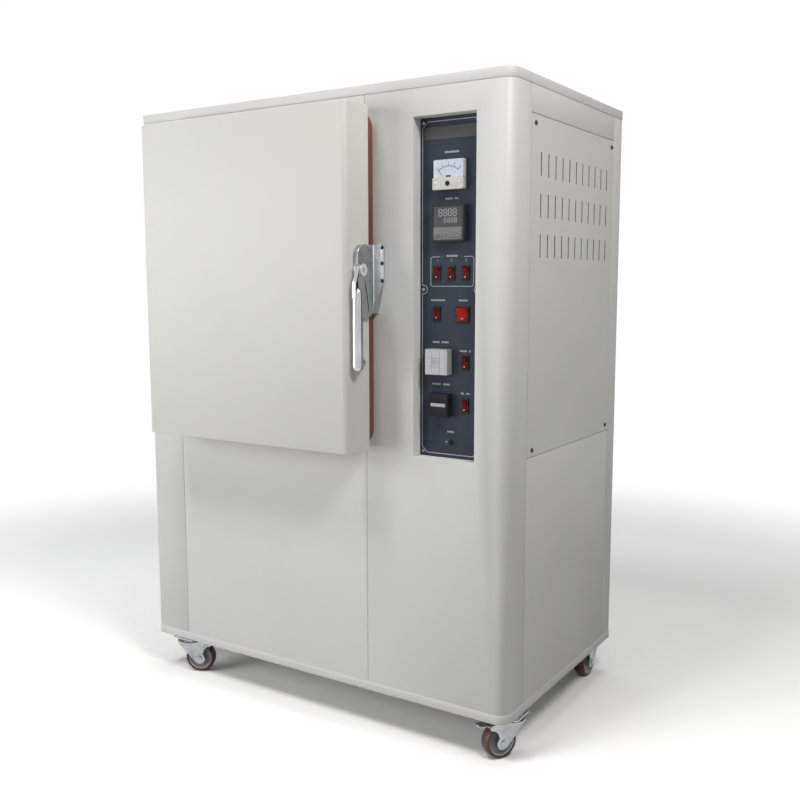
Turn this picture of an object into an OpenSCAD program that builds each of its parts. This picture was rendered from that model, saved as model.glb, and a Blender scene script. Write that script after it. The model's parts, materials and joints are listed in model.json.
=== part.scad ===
// UV ageing test chamber: a sheet-metal cabinet on four casters, with a proud
// insulated door on the left and a recessed control panel in the right column.
// Cabinet measures run from the left side, the front face and the underside.

/* [Cabinet] */
// Width of the cabinet
cab_w = 968; // [900:1:1100]
// Depth of the cabinet without the door
cab_d = 572; // [540:1:800]
// Height of the cabinet without the casters
cab_h = 1270; // [1250:1:1500]
// Thickness of the outer sheet metal
sheet_t = 2; // [1.5:0.5:3]
// Radius of the front right corner
corner_r = 28; // [10:1:40]
// Height of the base rail and of the skirt round the top cap
rail_h = 19; // [12:1:30]
// How far the base rail and the top cap stand proud of the panels
rail_proud = 1; // [0.5:0.5:1.5]
// Width of the open seam between two panels
seam_gap = 1; // [0.6:0.2:2]
// Distance of the left front seam from the left side
left_strip_w = 97; // [60:1:110]
// Width of the control column on the front
column_w = 331; // [310:1:360]
// How far the control column wraps onto the right side
column_wrap = 79; // [50:1:120]
// How far the rear panel wraps onto each side
rear_wrap = 48; // [30:1:80]
// Depth of the flanges turned inwards along the seams
flange_w = 18; // [10:1:25]

/* [Vent cover] */
// Height of the vent cover's lower edge
cover_z = 530; // [450:1:600]
// Distance from the vent cover's upper edge up to the top cap
cover_top = 55; // [50:1:120]
// Gap above and below the vent cover
cover_gap = 2.5; // [1:0.5:4]
// Width of the backing frame's bars behind the cover
backing_w = 26; // [18:1:40]
// Columns of vent slots
slot_columns = 11; // [4:1:11]
// Rows of vent slots
slot_rows = 3; // [1:1:3]
// Spacing of the slot columns
slot_pitch = 35.5; // [20:0.5:38]
// Spacing of the slot rows
slot_row_pitch = 78.6; // [60:0.2:90]
// Length of one slot
slot_l = 46.5; // [30:0.5:55]
// Width of one slot
slot_w = 3.6; // [2:0.2:3.8]
// Distance from the column's seam to the first slot
slot_start = 47; // [30:1:60]
// Distance from the cover's top edge down to the first row's middle
slot_drop = 91; // [60:1:120]

/* [Chamber] */
// How far the door laps over the mouth at each side
mouth_lap_side = 38; // [34:1:60]
// How far the door laps over the mouth above and below
mouth_lap_end = 40.5; // [34:0.5:60]
// Depth of the chamber
chamber_d = 450; // [350:1:500]
// Thickness of the stainless liner
liner_t = 2; // [1:0.5:3]
// Gap between the specimen turntable and the nearest chamber wall
table_gap = 25; // [15:1:60]
// Thickness of the turntable's disc
table_t = 2; // [1.5:0.5:4]
// Height of the turntable above the chamber floor
table_z = 120; // [80:5:200]
// Diameter of the turntable's shaft
shaft_d = 16; // [12:1:25]
// Diameter of the boss under the turntable's disc
table_boss_d = 38; // [30:1:60]
// Diameter of the bearing flange on the chamber floor
bearing_d = 60; // [40:1:80]
// Height of the bearing flange
bearing_h = 12; // [8:1:20]
// Diameter of the lamp bulb
bulb_d = 120; // [80:1:130]
// Length of the lamp bulb below its socket
bulb_l = 150; // [120:1:160]
// Diameter of the lamp socket
socket_d = 46; // [36:1:60]
// Length of the lamp socket
socket_l = 55; // [40:1:70]

/* [Door] */
// Distance of the door's left edge from the cabinet's left side
door_x = 94; // [90:1:110]
// How far the door laps over the control column
door_over = 23; // [18:1:30]
// Height of the door's lower edge
door_z = 534; // [500:1:545]
// Distance of the door's upper edge below the cabinet's top
door_top = 45; // [40:1:80]
// Thickness of the door
door_t = 78; // [60:1:90]
// Gap between the door and the cabinet front, filled by the gasket
door_gap = 22; // [15:1:30]
// Radius of the door's upright front edges
door_edge_r = 12; // [4:1:20]
// Thickness of the door's sheet metal
door_skin_t = 2; // [1.5:0.5:3]
// Inset of the gasket from the door's edge
gasket_inset = 3; // [2:1:8]
// Width of the gasket
gasket_w = 26; // [18:1:32]
// Outer corner radius of the gasket
gasket_r = 40; // [30:1:60]
// Running gap between the gasket and the cabinet front
gasket_seat = 0.3; // [0.2:0.1:0.5]
// Clearance of the door's raised plug inside the mouth
plug_gap = 12; // [10:1:20]
// How far the plug reaches into the mouth
plug_reach = 8; // [4:1:12]
// Corner radius of the plug
plug_r = 18; // [8:1:30]

/* [Door hinges] */
// Distance of the hinge axis from the door's left edge
hinge_out = 14; // [13:1:18]
// Distance of the hinge axis in front of the door's rear edge
hinge_forward = 16; // [14:1:24]
// Distance of each hinge's middle from the door's end
hinge_inset = 110; // [80:1:160]
// Length of one hinge
hinge_l = 70; // [50:1:90]
// Radius of the hinge knuckles
knuckle_r = 8; // [7:0.5:9]
// Radius of the hinge pin
hinge_pin_r = 4; // [3:0.5:5]
// Radial clearance of the hinge pin
hinge_pin_gap = 0.1; // [0.05:0.05:0.1]
// Thickness of the hinge plates
hinge_plate_t = 4; // [3:0.5:5]
// Width of the bracket plate on the cabinet
bracket_w = 52; // [36:1:60]
// Width of the leaf plate on the door's edge
leaf_w = 38; // [28:1:44]

/* [Latch] */
// Height of the latch's lever pivot
pivot_z = 901; // [850:1:950]
// Distance of the lever pivot in front of the cabinet face
pivot_y = 72; // [66:1:76]
// Thickness of the latch base
latch_t = 12; // [10:1:20]
// Radius of the latch base's arched top
latch_r = 25; // [22:1:26]
// Height from the pivot up to the top of the latch base
latch_up = 51; // [44:1:60]
// Depth from the pivot down to the bottom of the latch base
latch_down = 93; // [80:1:110]
// Depth from the pivot down to the waist below the arch
waist_down = 30; // [24:1:40]
// Depth of the slanting slot in the latch base
latch_slot_d = 5; // [3:0.5:7]
// Width of the slanting slot
latch_slot_w = 5; // [4:0.5:8]
// Thickness of the lever's hub and neck
lever_t = 9; // [8:0.5:12]
// Radius of the lever's hub
lever_hub_r = 14; // [13:0.5:16]
// Radius of the lock in the middle of the hub
lock_r = 10; // [8:0.5:11]
// Radial clearance of the lock in the base and the lever
lock_gap = 0.2; // [0.1:0.1:0.4]
// Radius of the lever's grip
grip_r = 11; // [8:0.5:12]
// Length of the straight grip
grip_l = 156; // [120:1:180]
// Distance from the pivot down to the top of the grip
grip_drop = 34; // [28:1:50]
// How far the grip stands forward of the pivot
grip_forward = 14; // [10:1:20]
// Length of the grip's flat where it passes the latch base
grip_flat_l = 44; // [30:1:50]
// Radius of the grip's curled toe
toe_r = 8; // [5:0.5:9]
// Length of the grip's curled toe
toe_l = 16; // [10:1:24]
// Running gap between the lever and the base
lever_gap = 0.3; // [0.2:0.1:0.5]
// Gap between the door's edge and the keeper
keeper_gap = 2; // [1.5:0.5:3]
// Running gap between the keeper and the closed latch base
keeper_front_gap = 1; // [0.5:0.5:2]
// Width of the keeper on the cabinet face
keeper_w = 22; // [18:1:26]
// Width of the keeper at its lower end
keeper_end_w = 8; // [6:1:12]
// Height of the keeper
keeper_h = 138; // [120:1:145]
// Height of the keeper's slanting lower part
keeper_slant_h = 72; // [50:1:80]
// How far the keeper stands out from the cabinet face
keeper_out = 26; // [22:1:28]
// Thickness of the keeper's foot
keeper_foot_t = 3; // [2:0.5:4]

/* [Control panel] */
// Distance of the recess from the cabinet's right side
recess_inset = 76; // [60:1:80]
// Width of the recess
recess_w = 140; // [136:1:150]
// Margin of the recess below the fuse holder's middle
recess_under = 32; // [26:1:40]
// Margin of the recess above the ammeter
recess_above = 83; // [60:1:90]
// Depth of the recess down to the panel
recess_d = 27; // [15:1:35]
// Thickness of the panel plate
plate_t = 3; // [2:0.5:4]
// Gap round the panel plate
plate_gap = 0.5; // [0.2:0.1:1]
// Width of the flange that carries the panel plate
plate_seat_w = 10; // [6:1:11]
// Clearance of the cut-outs in the panel plate
cutout_gap = 0.4; // [0.2:0.1:0.8]

/* [Instruments] */
// Height of the ammeter's middle
ammeter_z = 1085; // [1060:1:1100]
// Width of the ammeter
ammeter_w = 68; // [60:1:80]
// Height of the ammeter
ammeter_h = 58; // [50:1:70]
// How far the ammeter's window stands out
ammeter_out = 6; // [4:1:10]
// How far the ammeter's lower block stands out
ammeter_block_out = 14; // [10:1:18]
// Height of the ammeter's lower block
ammeter_block_h = 23; // [18:1:28]
// Radius of the ammeter's zero screw
zero_screw_r = 4.5; // [3:0.5:6]
// Height of the temperature controller's middle
controller_z = 992; // [980:1:1010]
// Side of the temperature controller
controller_s = 72; // [60:1:76]
// How far the controller stands out
controller_out = 14; // [5:1:18]
// Height of the timer's middle
timer_z = 719; // [700:1:740]
// Side of the timer
timer_s = 52; // [44:1:54]
// How far the timer and the hour meter stand out
meter_out = 18; // [8:1:24]
// Height of the hour meter's middle
hour_z = 633; // [610:1:650]
// Side of the hour meter
hour_s = 46; // [40:1:50]
// Distance of the timer left of the panel's middle
timer_left = 22; // [18:1:24]
// Distance of the hour meter left of the panel's middle
hour_left = 18; // [14:1:24]
// Height of the fuse holder's middle
fuse_z = 556.5; // [550:0.5:570]
// Diameter of the fuse holder's cap
fuse_d = 14; // [10:1:18]
// Depth of the instruments behind the panel plate
body_depth = 30; // [20:1:60]

/* [Switches] */
// Width of a small switch
switch_w = 17; // [14:0.5:20]
// Height of a small switch
switch_h = 30; // [26:0.5:34]
// Width of the power switch
power_w = 29; // [24:0.5:32]
// Height of the power switch
power_h = 33; // [30:0.5:36]
// Width of a switch's rim
bezel_w = 2; // [1.5:0.5:2.5]
// How far a switch's rim stands out
bezel_out = 2.5; // [1:0.5:4]
// Gap round the rocker inside its rim
rocker_gap = 0.6; // [0.5:0.1:0.8]
// Angle that a rocker turns
rocker_swing = 14; // [8:1:16]
// Depth of the rocker's axis behind the panel face
rocker_axis_d = 2; // [1:0.5:3]
// How far a rocker's ends stand in front of its axis
rocker_out = 7.5; // [6:0.5:9]
// Depth of the dish in a rocker's face
rocker_dish = 2.5; // [1:0.5:3]
// How far a rocker reaches behind its axis
rocker_back = 4; // [3:0.5:5]
// Radius of the pins that carry a rocker
rocker_pin_r = 1; // [0.8:0.1:1.2]
// Radial clearance of the rocker on its pins
rocker_pin_gap = 0.3; // [0.2:0.1:0.4]
// Spacing of the three heater switches
heater_pitch = 32.5; // [28:0.5:34]
// Height of the heater switches
heater_z = 895; // [880:1:910]
// Height of the rotation and power switches
drive_z = 814.5; // [800:0.5:830]
// Distance of the outer switches right of the panel's middle
outer_right = 34.5; // [30:0.5:36]
// Distance of the power switch right of the panel's middle
power_right = 28.5; // [24:0.5:34]

/* [Casters] */
// Height of a caster from the floor to the cabinet
caster_h = 90; // [88:1:110]
// Radius of a caster wheel
wheel_r = 36; // [30:1:37]
// Width of a caster wheel
wheel_w = 27; // [22:1:32]
// Thickness of the wheel's tread
tread_t = 8; // [5:0.5:10]
// Distance of the axle behind the swivel
caster_trail = 26; // [20:1:32]
// Length of the caster's top plate, along the cabinet's width
top_plate_l = 64; // [56:1:72]
// Width of the caster's top plate
top_plate_w = 60; // [52:1:64]
// Thickness of the caster's top plate
top_plate_t = 3; // [2:0.5:4]
// Distance of the bolt slots from the plate's edges
slot_inset = 9; // [8:1:11]
// Thickness of the fork's sheet metal
fork_t = 2.5; // [2:0.5:3]
// Side clearance between the wheel and the fork
fork_gap = 3; // [2:0.5:4]
// Radius of the fork's crown
fork_r = 32; // [28:1:34]
// Radius of the fork's rounded feet
foot_r = 14; // [10:1:16]
// Radius of the relief behind each foot
relief_r = 18; // [14:1:20]
// Radius of the swivel race
race_r = 22; // [18:1:25]
// Depth of the swivel race below the top plate
race_h = 6; // [4:1:8]
// Radius of the king pin
king_r = 5; // [4:0.5:6]
// Running gap of the fork on its race and king pin
swivel_gap = 0.5; // [0.3:0.1:0.8]
// Radius of the axle
axle_r = 4; // [3:0.5:5]
// Radial clearance of the axle in the wheel
axle_gap = 0.1; // [0.05:0.05:0.1]
// Angle of the front left caster's trail
front_left_turn = 28; // [-180:1:180]
// Angle of the front right caster's trail
front_right_turn = 238; // [0:1:360]
// Angle of the rear left caster's trail
rear_left_turn = 15; // [-180:1:180]
// Angle of the rear right caster's trail
rear_right_turn = 270; // [0:1:360]
// Distance of the left casters' swivels from the left side
left_inset = 79; // [60:1:120]
// Distance of the front right swivel from the right side
front_right_side = 24; // [22:1:80]
// Distance of the rear right swivel from the right side
rear_right_side = 44; // [22:1:80]
// Distance of the front left swivel from the front
front_inset = 24; // [22:1:60]
// Distance of the front right swivel from the front
front_right_inset = 68; // [22:1:80]
// Distance of the rear casters' swivels from the back
rear_inset = 20; // [18:1:60]
// Distance of the brake pedal's pin behind the axle
pedal_pin_back = 24; // [22:1:26]
// Radius of the brake pedal's pin
pedal_pin_r = 2.5; // [2:0.5:3]
// Radius of the pedal's knuckle round the pin
pedal_knuckle_r = 4.5; // [4:0.5:5]
// Thickness of the pedal's sheet metal
pedal_t = 2; // [1.5:0.5:2.5]
// Width of the brake pedal
pedal_w = 24; // [16:1:28]
// Length of the brake pedal from its pin
pedal_l = 30; // [20:1:36]

/* [Hidden] */

$fn = 64;
// Small overshoot that lets a cut leave a clean face
over = 1;

panel_h = cab_h - 2 * rail_h;
column_x = cab_w - column_w;
rear_seam_y = cab_d - rear_wrap;
cover_h = cab_h - rail_h - cover_top - cover_z;
door_h = cab_h - door_top - door_z;
door_w = column_x + door_over - door_x;
door_right = door_x + door_w;
mouth_w = door_w - 2 * mouth_lap_side;
mouth_h = door_h - 2 * mouth_lap_end;
table_d = min(mouth_w, chamber_d) - 2 * table_gap;
door_front_y = -door_gap - door_t;
door_mid_x = door_x + door_w / 2;
door_mid_z = door_z + door_h / 2;
mouth_x = door_mid_x - mouth_w / 2;
mouth_z = door_mid_z - mouth_h / 2;
hinge_x = door_x - hinge_out;
hinge_y = -door_gap - hinge_forward;
recess_x = cab_w - recess_inset - recess_w;
recess_z = fuse_z - recess_under;
recess_h = ammeter_z + ammeter_h / 2 + recess_above - recess_z;
panel_mid_x = recess_x + recess_w / 2;
heater_mid_x = panel_mid_x + outer_right - heater_pitch;
inner_left_x = heater_mid_x - heater_pitch;
timer_x = panel_mid_x - timer_left;
hour_x = panel_mid_x - hour_left;
plate_back_y = recess_d + plate_t;
rocker_axis_y = recess_d + rocker_axis_d;
lever_x = door_right + latch_t + lever_gap;
grip_x = lever_x + lever_t / 2;
grip_y = -pivot_y - grip_forward;
latch_rear_y = -keeper_out - keeper_front_gap;
fork_drop = top_plate_t + race_h + swivel_gap;
axle_z = wheel_r - caster_h;
fork_half = wheel_w / 2 + fork_gap;
pedal_pin_x = caster_trail + pedal_pin_back;
pedal_pin_z = -fork_drop - fork_t - pedal_knuckle_r - 1.5;

front_left_swivel = [left_inset, front_inset];
front_right_swivel = [cab_w - front_right_side, front_right_inset];
rear_left_swivel = [left_inset, cab_d - rear_inset];
rear_right_swivel = [cab_w - rear_right_side, cab_d - rear_inset];
swivels = [front_left_swivel, front_right_swivel, rear_left_swivel, rear_right_swivel];

// The part's own origin is on the floor, below the middle of its outline
left_reach = -rail_proud;
right_reach = max(cab_w + rail_proud, cab_w - front_right_side + top_plate_l / 2);
front_reach = min(door_front_y, grip_y - grip_r);
back_reach = max(cab_d + rail_proud, cab_d - rear_inset + top_plate_w / 2);
frame_x = -(left_reach + right_reach) / 2;
frame_y = -(front_reach + back_reach) / 2;

// Middle, width and height of each switch, in the order of the rockers
places = [
    [inner_left_x, heater_z, switch_w, switch_h],
    [heater_mid_x, heater_z, switch_w, switch_h],
    [heater_mid_x + heater_pitch, heater_z, switch_w, switch_h],
    [inner_left_x, drive_z, switch_w, switch_h],
    [panel_mid_x + power_right, drive_z, power_w, power_h],
    [panel_mid_x + outer_right, timer_z, switch_w, switch_h],
    [panel_mid_x + outer_right, hour_z, switch_w, switch_h]
];

// Moves cabinet measures into the part's own frame
module in_cabinet() {
    translate([frame_x, frame_y, caster_h]) children();
}

// A box given by its lowest corner and its size
module block(at, size) {
    translate(at) cube(size);
}

// A rod along X, starting at a point
module rod_x(at, r, l) {
    translate(at) rotate([0, 90, 0]) cylinder(r = r, h = l);
}

// A rod along Y, starting at a point
module rod_y(at, r, l) {
    translate(at) rotate([-90, 0, 0]) cylinder(r = r, h = l);
}

// Raises a drawing of width and height from the plane at y towards the back
module raise_back(y, depth) {
    translate([0, y + depth, 0]) rotate([90, 0, 0]) linear_extrude(depth) children();
}

// Raises a drawing of depth and height from the plane at x to the right
module raise_right(x, thickness) {
    translate([x, 0, 0]) rotate([90, 0, 90]) linear_extrude(thickness) children();
}

// A flat rectangle with round corners, from its lowest corner
module round_rect(at, size, r) {
    translate(at) {
        translate([r, 0]) square([size[0] - 2 * r, size[1]]);
        translate([0, r]) square([size[0], size[1] - 2 * r]);
        for (x = [r, size[0] - r], y = [r, size[1] - r])
            translate([x, y]) circle(r);
    }
}

// Two round ends joined by straight tangents
module tapered_link(a, ra, b, rb) {
    d = norm(b - a);
    along = (b - a) / d;
    across = [-along[1], along[0]];
    lean = (ra - rb) / d;
    n0 = lean * along + sqrt(1 - lean * lean) * across;
    n1 = lean * along - sqrt(1 - lean * lean) * across;
    polygon([a + ra * n0, b + rb * n0, b + rb * n1, a + ra * n1]);
    translate(a) circle(ra);
    translate(b) circle(rb);
}

// Plan of the cabinet, with its one round corner, grown or shrunk all round
module cabinet_plan(grow) {
    mid_x = cab_w - corner_r;
    translate([-grow, -grow]) square([mid_x + grow, cab_d + 2 * grow]);
    translate([mid_x - over, corner_r])
        square([corner_r + grow + over, cab_d - corner_r + grow]);
    translate([mid_x, corner_r]) circle(corner_r + grow);
}

// Upright panels are cut from the cabinet's plan by a window
module panel_from_plan(at, size) {
    translate([0, 0, rail_h]) linear_extrude(panel_h) intersection() {
        difference() {
            cabinet_plan(0);
            cabinet_plan(-sheet_t);
        }
        translate(at) square(size);
    }
}

// Shallow tray of the cabinet's plan, open upwards
module rail_tray() {
    difference() {
        linear_extrude(rail_h) cabinet_plan(rail_proud);
        translate([0, 0, sheet_t]) linear_extrude(rail_h) cabinet_plan(rail_proud - sheet_t);
    }
}

module base_tray() {
    color("#d3d3cf") in_cabinet() rail_tray();
}

module top_cap() {
    color("#e2e2dd") in_cabinet() difference() {
        translate([0, 0, cab_h - rail_h]) linear_extrude(rail_h) cabinet_plan(rail_proud);
        translate([0, 0, cab_h - rail_h - over]) linear_extrude(rail_h - sheet_t + over)
            cabinet_plan(rail_proud - sheet_t);
    }
}

// Left side with its front strip, folded from one sheet
module left_side_panel() {
    side_l = rear_seam_y - seam_gap / 2;
    strip_end = left_strip_w - seam_gap / 2;
    color("#d6d6d2") in_cabinet() {
        panel_from_plan([-over, -over], [sheet_t + over, side_l + over]);
        panel_from_plan([-over, -over], [strip_end + over, sheet_t + over]);
        block([strip_end - sheet_t, 0, rail_h], [sheet_t, flange_w, panel_h]);
        block([0, side_l - sheet_t, rail_h], [flange_w, sheet_t, panel_h]);
    }
}

// Middle of the front, with the chamber's mouth
module front_panel() {
    x0 = left_strip_w + seam_gap / 2;
    x1 = column_x - seam_gap / 2;
    color("#d8d8d5") in_cabinet() difference() {
        union() {
            block([x0, 0, rail_h], [x1 - x0, sheet_t, panel_h]);
            block([x0, 0, rail_h], [sheet_t, flange_w, panel_h]);
            block([x1 - sheet_t, 0, rail_h], [sheet_t, sheet_t + 6, panel_h]);
        }
        block([mouth_x, -over, mouth_z], [mouth_w, sheet_t + 2 * over, mouth_h]);
    }
}

// Folded sheet that carries the control panel and turns the round corner
module control_column() {
    x0 = column_x + seam_gap / 2;
    wrap_end = column_wrap - seam_gap / 2;
    tray_d = plate_back_y + sheet_t;
    color("#d9d9d6") in_cabinet() difference() {
        union() {
            panel_from_plan([x0, -over], [cab_w, wrap_end + over]);
            block([x0, 0, rail_h], [sheet_t, flange_w, panel_h]);
            block([cab_w - flange_w, wrap_end - sheet_t, rail_h], [flange_w, sheet_t, panel_h]);
            block([recess_x - sheet_t, 0, recess_z - sheet_t],
                  [recess_w + 2 * sheet_t, tray_d, recess_h + 2 * sheet_t]);
        }
        block([recess_x, -over, recess_z], [recess_w, plate_back_y + over, recess_h]);
        block([recess_x + plate_seat_w, 0, recess_z + plate_seat_w],
              [recess_w - 2 * plate_seat_w, tray_d + over, recess_h - 2 * plate_seat_w]);
    }
}

// Fixed right side: sheet above and below the vent cover, with a frame behind it
module right_side_skin() {
    y0 = column_wrap + seam_gap / 2;
    y1 = rear_seam_y - seam_gap / 2;
    back_z = cover_z - backing_w;
    back_h = cover_h + 2 * backing_w;
    color("#cfcfca") in_cabinet() difference() {
        union() {
            block([cab_w - sheet_t, y0, rail_h], [sheet_t, y1 - y0, panel_h]);
            block([cab_w - 2 * sheet_t, y0, back_z], [sheet_t + 0.5, y1 - y0, back_h]);
        }
        block([cab_w - sheet_t, y0 - over, cover_z - cover_gap],
              [sheet_t + over, y1 - y0 + 2 * over, cover_h + 2 * cover_gap]);
        block([cab_w - 2 * sheet_t - over, y0 + backing_w, cover_z + backing_w],
              [2 * sheet_t + 2 * over, y1 - y0 - 2 * backing_w, cover_h - 2 * backing_w]);
    }
}

// Removable side cover with rows of vent slots
module vent_cover() {
    y0 = column_wrap + seam_gap / 2;
    y1 = rear_seam_y - seam_gap / 2;
    first_z = cover_z + cover_h - slot_drop;
    color("#cbcbc5") in_cabinet() raise_right(cab_w - sheet_t, sheet_t) difference() {
        translate([y0, cover_z]) square([y1 - y0, cover_h]);
        for (column = [0 : slot_columns - 1], row = [0 : slot_rows - 1])
            translate([column_wrap + slot_start + column * slot_pitch,
                       first_z - row * slot_row_pitch]) {
                square([slot_w, slot_l - slot_w], center = true);
                for (side = [-1, 1])
                    translate([0, side * (slot_l - slot_w) / 2]) circle(slot_w / 2);
            }
    }
}

// Back of the cabinet, folded round onto both sides
module rear_panel() {
    y0 = rear_seam_y + seam_gap / 2;
    color("#cfcfca") in_cabinet() {
        panel_from_plan([-over, y0], [cab_w + 2 * over, cab_d]);
        for (x = [sheet_t - 0.5, cab_w - flange_w])
            block([x, y0, rail_h], [flange_w + 0.5 - sheet_t, sheet_t, panel_h]);
    }
}

// Stainless box behind the mouth, open to the front
module chamber_liner() {
    color("#b9bcc0") in_cabinet() difference() {
        block([mouth_x - liner_t, sheet_t, mouth_z - liner_t],
              [mouth_w + 2 * liner_t, chamber_d + liner_t, mouth_h + 2 * liner_t]);
        block([mouth_x, sheet_t - over, mouth_z], [mouth_w, chamber_d + over, mouth_h]);
    }
}

// Reflector lamp in a ceramic socket under the chamber ceiling
module uv_lamp() {
    neck_r = 17;
    color("#e9edf2") in_cabinet()
        translate([door_mid_x, sheet_t + chamber_d / 2, mouth_z + mouth_h - socket_l])
        rotate_extrude() {
            square([socket_d / 2, socket_l]);
            translate([0, -bulb_l]) polygon([
                [0, 0], [bulb_d * 0.36, 6], [bulb_d / 2, 26], [bulb_d / 2, 40],
                [neck_r, bulb_l - 18], [neck_r, bulb_l + 1], [0, bulb_l + 1]
            ]);
        }
}

// Perforated specimen disc on its shaft and floor bearing
module specimen_turntable() {
    hole_rings = [[3, 8], [5, 14], [7, 20]];
    color("#a9adb2") in_cabinet()
        translate([door_mid_x, sheet_t + chamber_d / 2, mouth_z]) {
            cylinder(d = bearing_d, h = bearing_h);
            cylinder(d = shaft_d, h = table_z);
            translate([0, 0, table_z - 6]) cylinder(d = table_boss_d, h = 6.5);
            translate([0, 0, table_z]) linear_extrude(table_t) difference() {
                circle(d = table_d);
                for (ring = hole_rings, i = [0 : ring[1] - 1])
                    rotate(i * 360 / ring[1]) translate([ring[0] * table_d / 18, 0]) circle(7);
            }
        }
}

// Panel plate with a cut-out for each instrument and switch
module control_plate() {
    color("#3a4450") in_cabinet() raise_back(recess_d, plate_t) difference() {
        translate([recess_x + plate_gap, recess_z + plate_gap])
            square([recess_w - 2 * plate_gap, recess_h - 2 * plate_gap]);
        cutout(panel_mid_x, ammeter_z, ammeter_w - 12, ammeter_h - 12);
        cutout(panel_mid_x, controller_z, controller_s - 6, controller_s - 6);
        cutout(timer_x, timer_z, timer_s - 6, timer_s - 6);
        cutout(hour_x, hour_z, hour_s - 6, hour_s - 6);
        for (s = places)
            cutout(s[0], s[1], s[2] - 2 * bezel_w, s[3] - 2 * bezel_w);
        translate([panel_mid_x, fuse_z]) circle(d = fuse_d - 4 + 2 * cutout_gap);
    }
}

module cutout(x, z, w, h) {
    translate([x, z]) square([w + 2 * cutout_gap, h + 2 * cutout_gap], center = true);
}

// Body of an instrument behind the plate, filling its cut-out
module back_body(x, z, w, h) {
    block([x - w / 2, recess_d - 0.5, z - h / 2], [w, body_depth + 0.5, h]);
}

// Moving-coil meter: a clear window over a proud lower block with its zero screw
module ammeter() {
    low_x = panel_mid_x - ammeter_w / 2;
    low_z = ammeter_z - ammeter_h / 2;
    color("#e8e6dc") in_cabinet() {
        raise_back(recess_d - ammeter_out, ammeter_out)
            round_rect([low_x, low_z], [ammeter_w, ammeter_h], 3);
        raise_back(recess_d - ammeter_block_out, ammeter_block_out)
            round_rect([low_x, low_z], [ammeter_w, ammeter_block_h], 3);
        rod_y([panel_mid_x, recess_d - ammeter_block_out - 1.5, low_z + ammeter_block_h / 2],
              zero_screw_r, 3);
        back_body(panel_mid_x, ammeter_z, ammeter_w - 12, ammeter_h - 12);
    }
}

// Square controller: a rim round a sunk display face with four keys
module temperature_controller() {
    rim = 3.5;
    key = [12, 7];
    key_pitch = 15.6;
    key_margin = [3, 4];
    face = controller_s - 2 * rim;
    low = [panel_mid_x - controller_s / 2, controller_z - controller_s / 2];
    color("#23262a") in_cabinet() {
        difference() {
            raise_back(recess_d - controller_out, controller_out)
                round_rect(low, [controller_s, controller_s], 3);
            block([low[0] + rim, recess_d - controller_out - over, low[1] + rim],
                  [face, over + 1.5, face]);
        }
        for (i = [0 : 3])
            raise_back(recess_d - controller_out + 0.3, 2)
                round_rect(low + [rim + i * key_pitch, rim] + key_margin, key, 2);
        back_body(panel_mid_x, controller_z, controller_s - 6, controller_s - 6);
    }
}

// Square meter body that stands well out of the panel
module meter_case(x, z, s, window) {
    difference() {
        raise_back(recess_d - meter_out, meter_out)
            round_rect([x - s / 2, z - s / 2], [s, s], 2.5);
        block([x - window[0] / 2, recess_d - meter_out - over, z - window[1] / 2],
              [window[0], over + 1.2, window[1]]);
    }
    back_body(x, z, s - 6, s - 6);
}

module test_timer() {
    color("#dfe0dc") in_cabinet() meter_case(timer_x, timer_z, timer_s, [40, 36]);
}

module hour_meter() {
    color("#1e2022") in_cabinet() meter_case(hour_x, hour_z, hour_s, [34, 9]);
}

// Screw-in fuse holder: a collar, a round cap and its body behind the plate
module fuse_holder() {
    color("#1a1b1d") in_cabinet() difference() {
        union() {
            rod_y([panel_mid_x, recess_d - 2.5, fuse_z], fuse_d / 2, 2.5);
            rod_y([panel_mid_x, recess_d - 10, fuse_z], fuse_d / 2 - 2, 10);
            rod_y([panel_mid_x, recess_d - 1, fuse_z], fuse_d / 2 - 2, body_depth);
        }
        block([panel_mid_x - 5, recess_d - 10 - over, fuse_z - 0.8], [10, over + 1.5, 1.6]);
    }
}

// Rim and housing of one rocker switch, hollow for the rocker
module switch_bezel(s) {
    inner_w = s[2] - 2 * bezel_w;
    inner_h = s[3] - 2 * bezel_w;
    wall = 1;
    difference() {
        union() {
            raise_back(recess_d - bezel_out, bezel_out)
                round_rect([s[0] - s[2] / 2, s[1] - s[3] / 2], [s[2], s[3]], 1.5);
            block([s[0] - inner_w / 2, recess_d - 0.5, s[1] - inner_h / 2],
                  [inner_w, 16, inner_h]);
        }
        block([s[0] - inner_w / 2 + wall, recess_d - bezel_out - over, s[1] - inner_h / 2 + wall],
              [inner_w - 2 * wall, bezel_out + over + 13, inner_h - 2 * wall]);
    }
    for (side = [-1, 1])
        rod_x([s[0] + side * (inner_w / 2 - wall - 0.1) - 0.6, rocker_axis_y, s[1]],
              rocker_pin_r, 1.2);
}

module switch_bezels() {
    color("#191a1c") in_cabinet() for (s = places) switch_bezel(s);
}

// Rocker with a dished front, tipped to its resting side, its ends drawn in to clear the rim
module rocker(s) {
    w = s[2] - 2 * bezel_w - 2 - 2 * rocker_gap;
    half = (s[3] - 2 * bezel_w - 2) / 2 - rocker_gap;
    tip = half - rocker_out * sin(rocker_swing / 2);
    color("#b3201c") in_cabinet() translate([s[0], rocker_axis_y, s[1]])
        rotate([rocker_swing / 2, 0, 0]) difference() {
            raise_right(-w / 2, w) polygon([
                [-rocker_out, tip], [rocker_dish - rocker_out, 0], [-rocker_out, -tip],
                [-1, -half], [rocker_back, -half * 0.4], [rocker_back, half * 0.4], [-1, half]
            ]);
            rod_x([-w / 2 - over, 0, 0], rocker_pin_r + rocker_pin_gap, w + 2 * over);
        }
}

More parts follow.
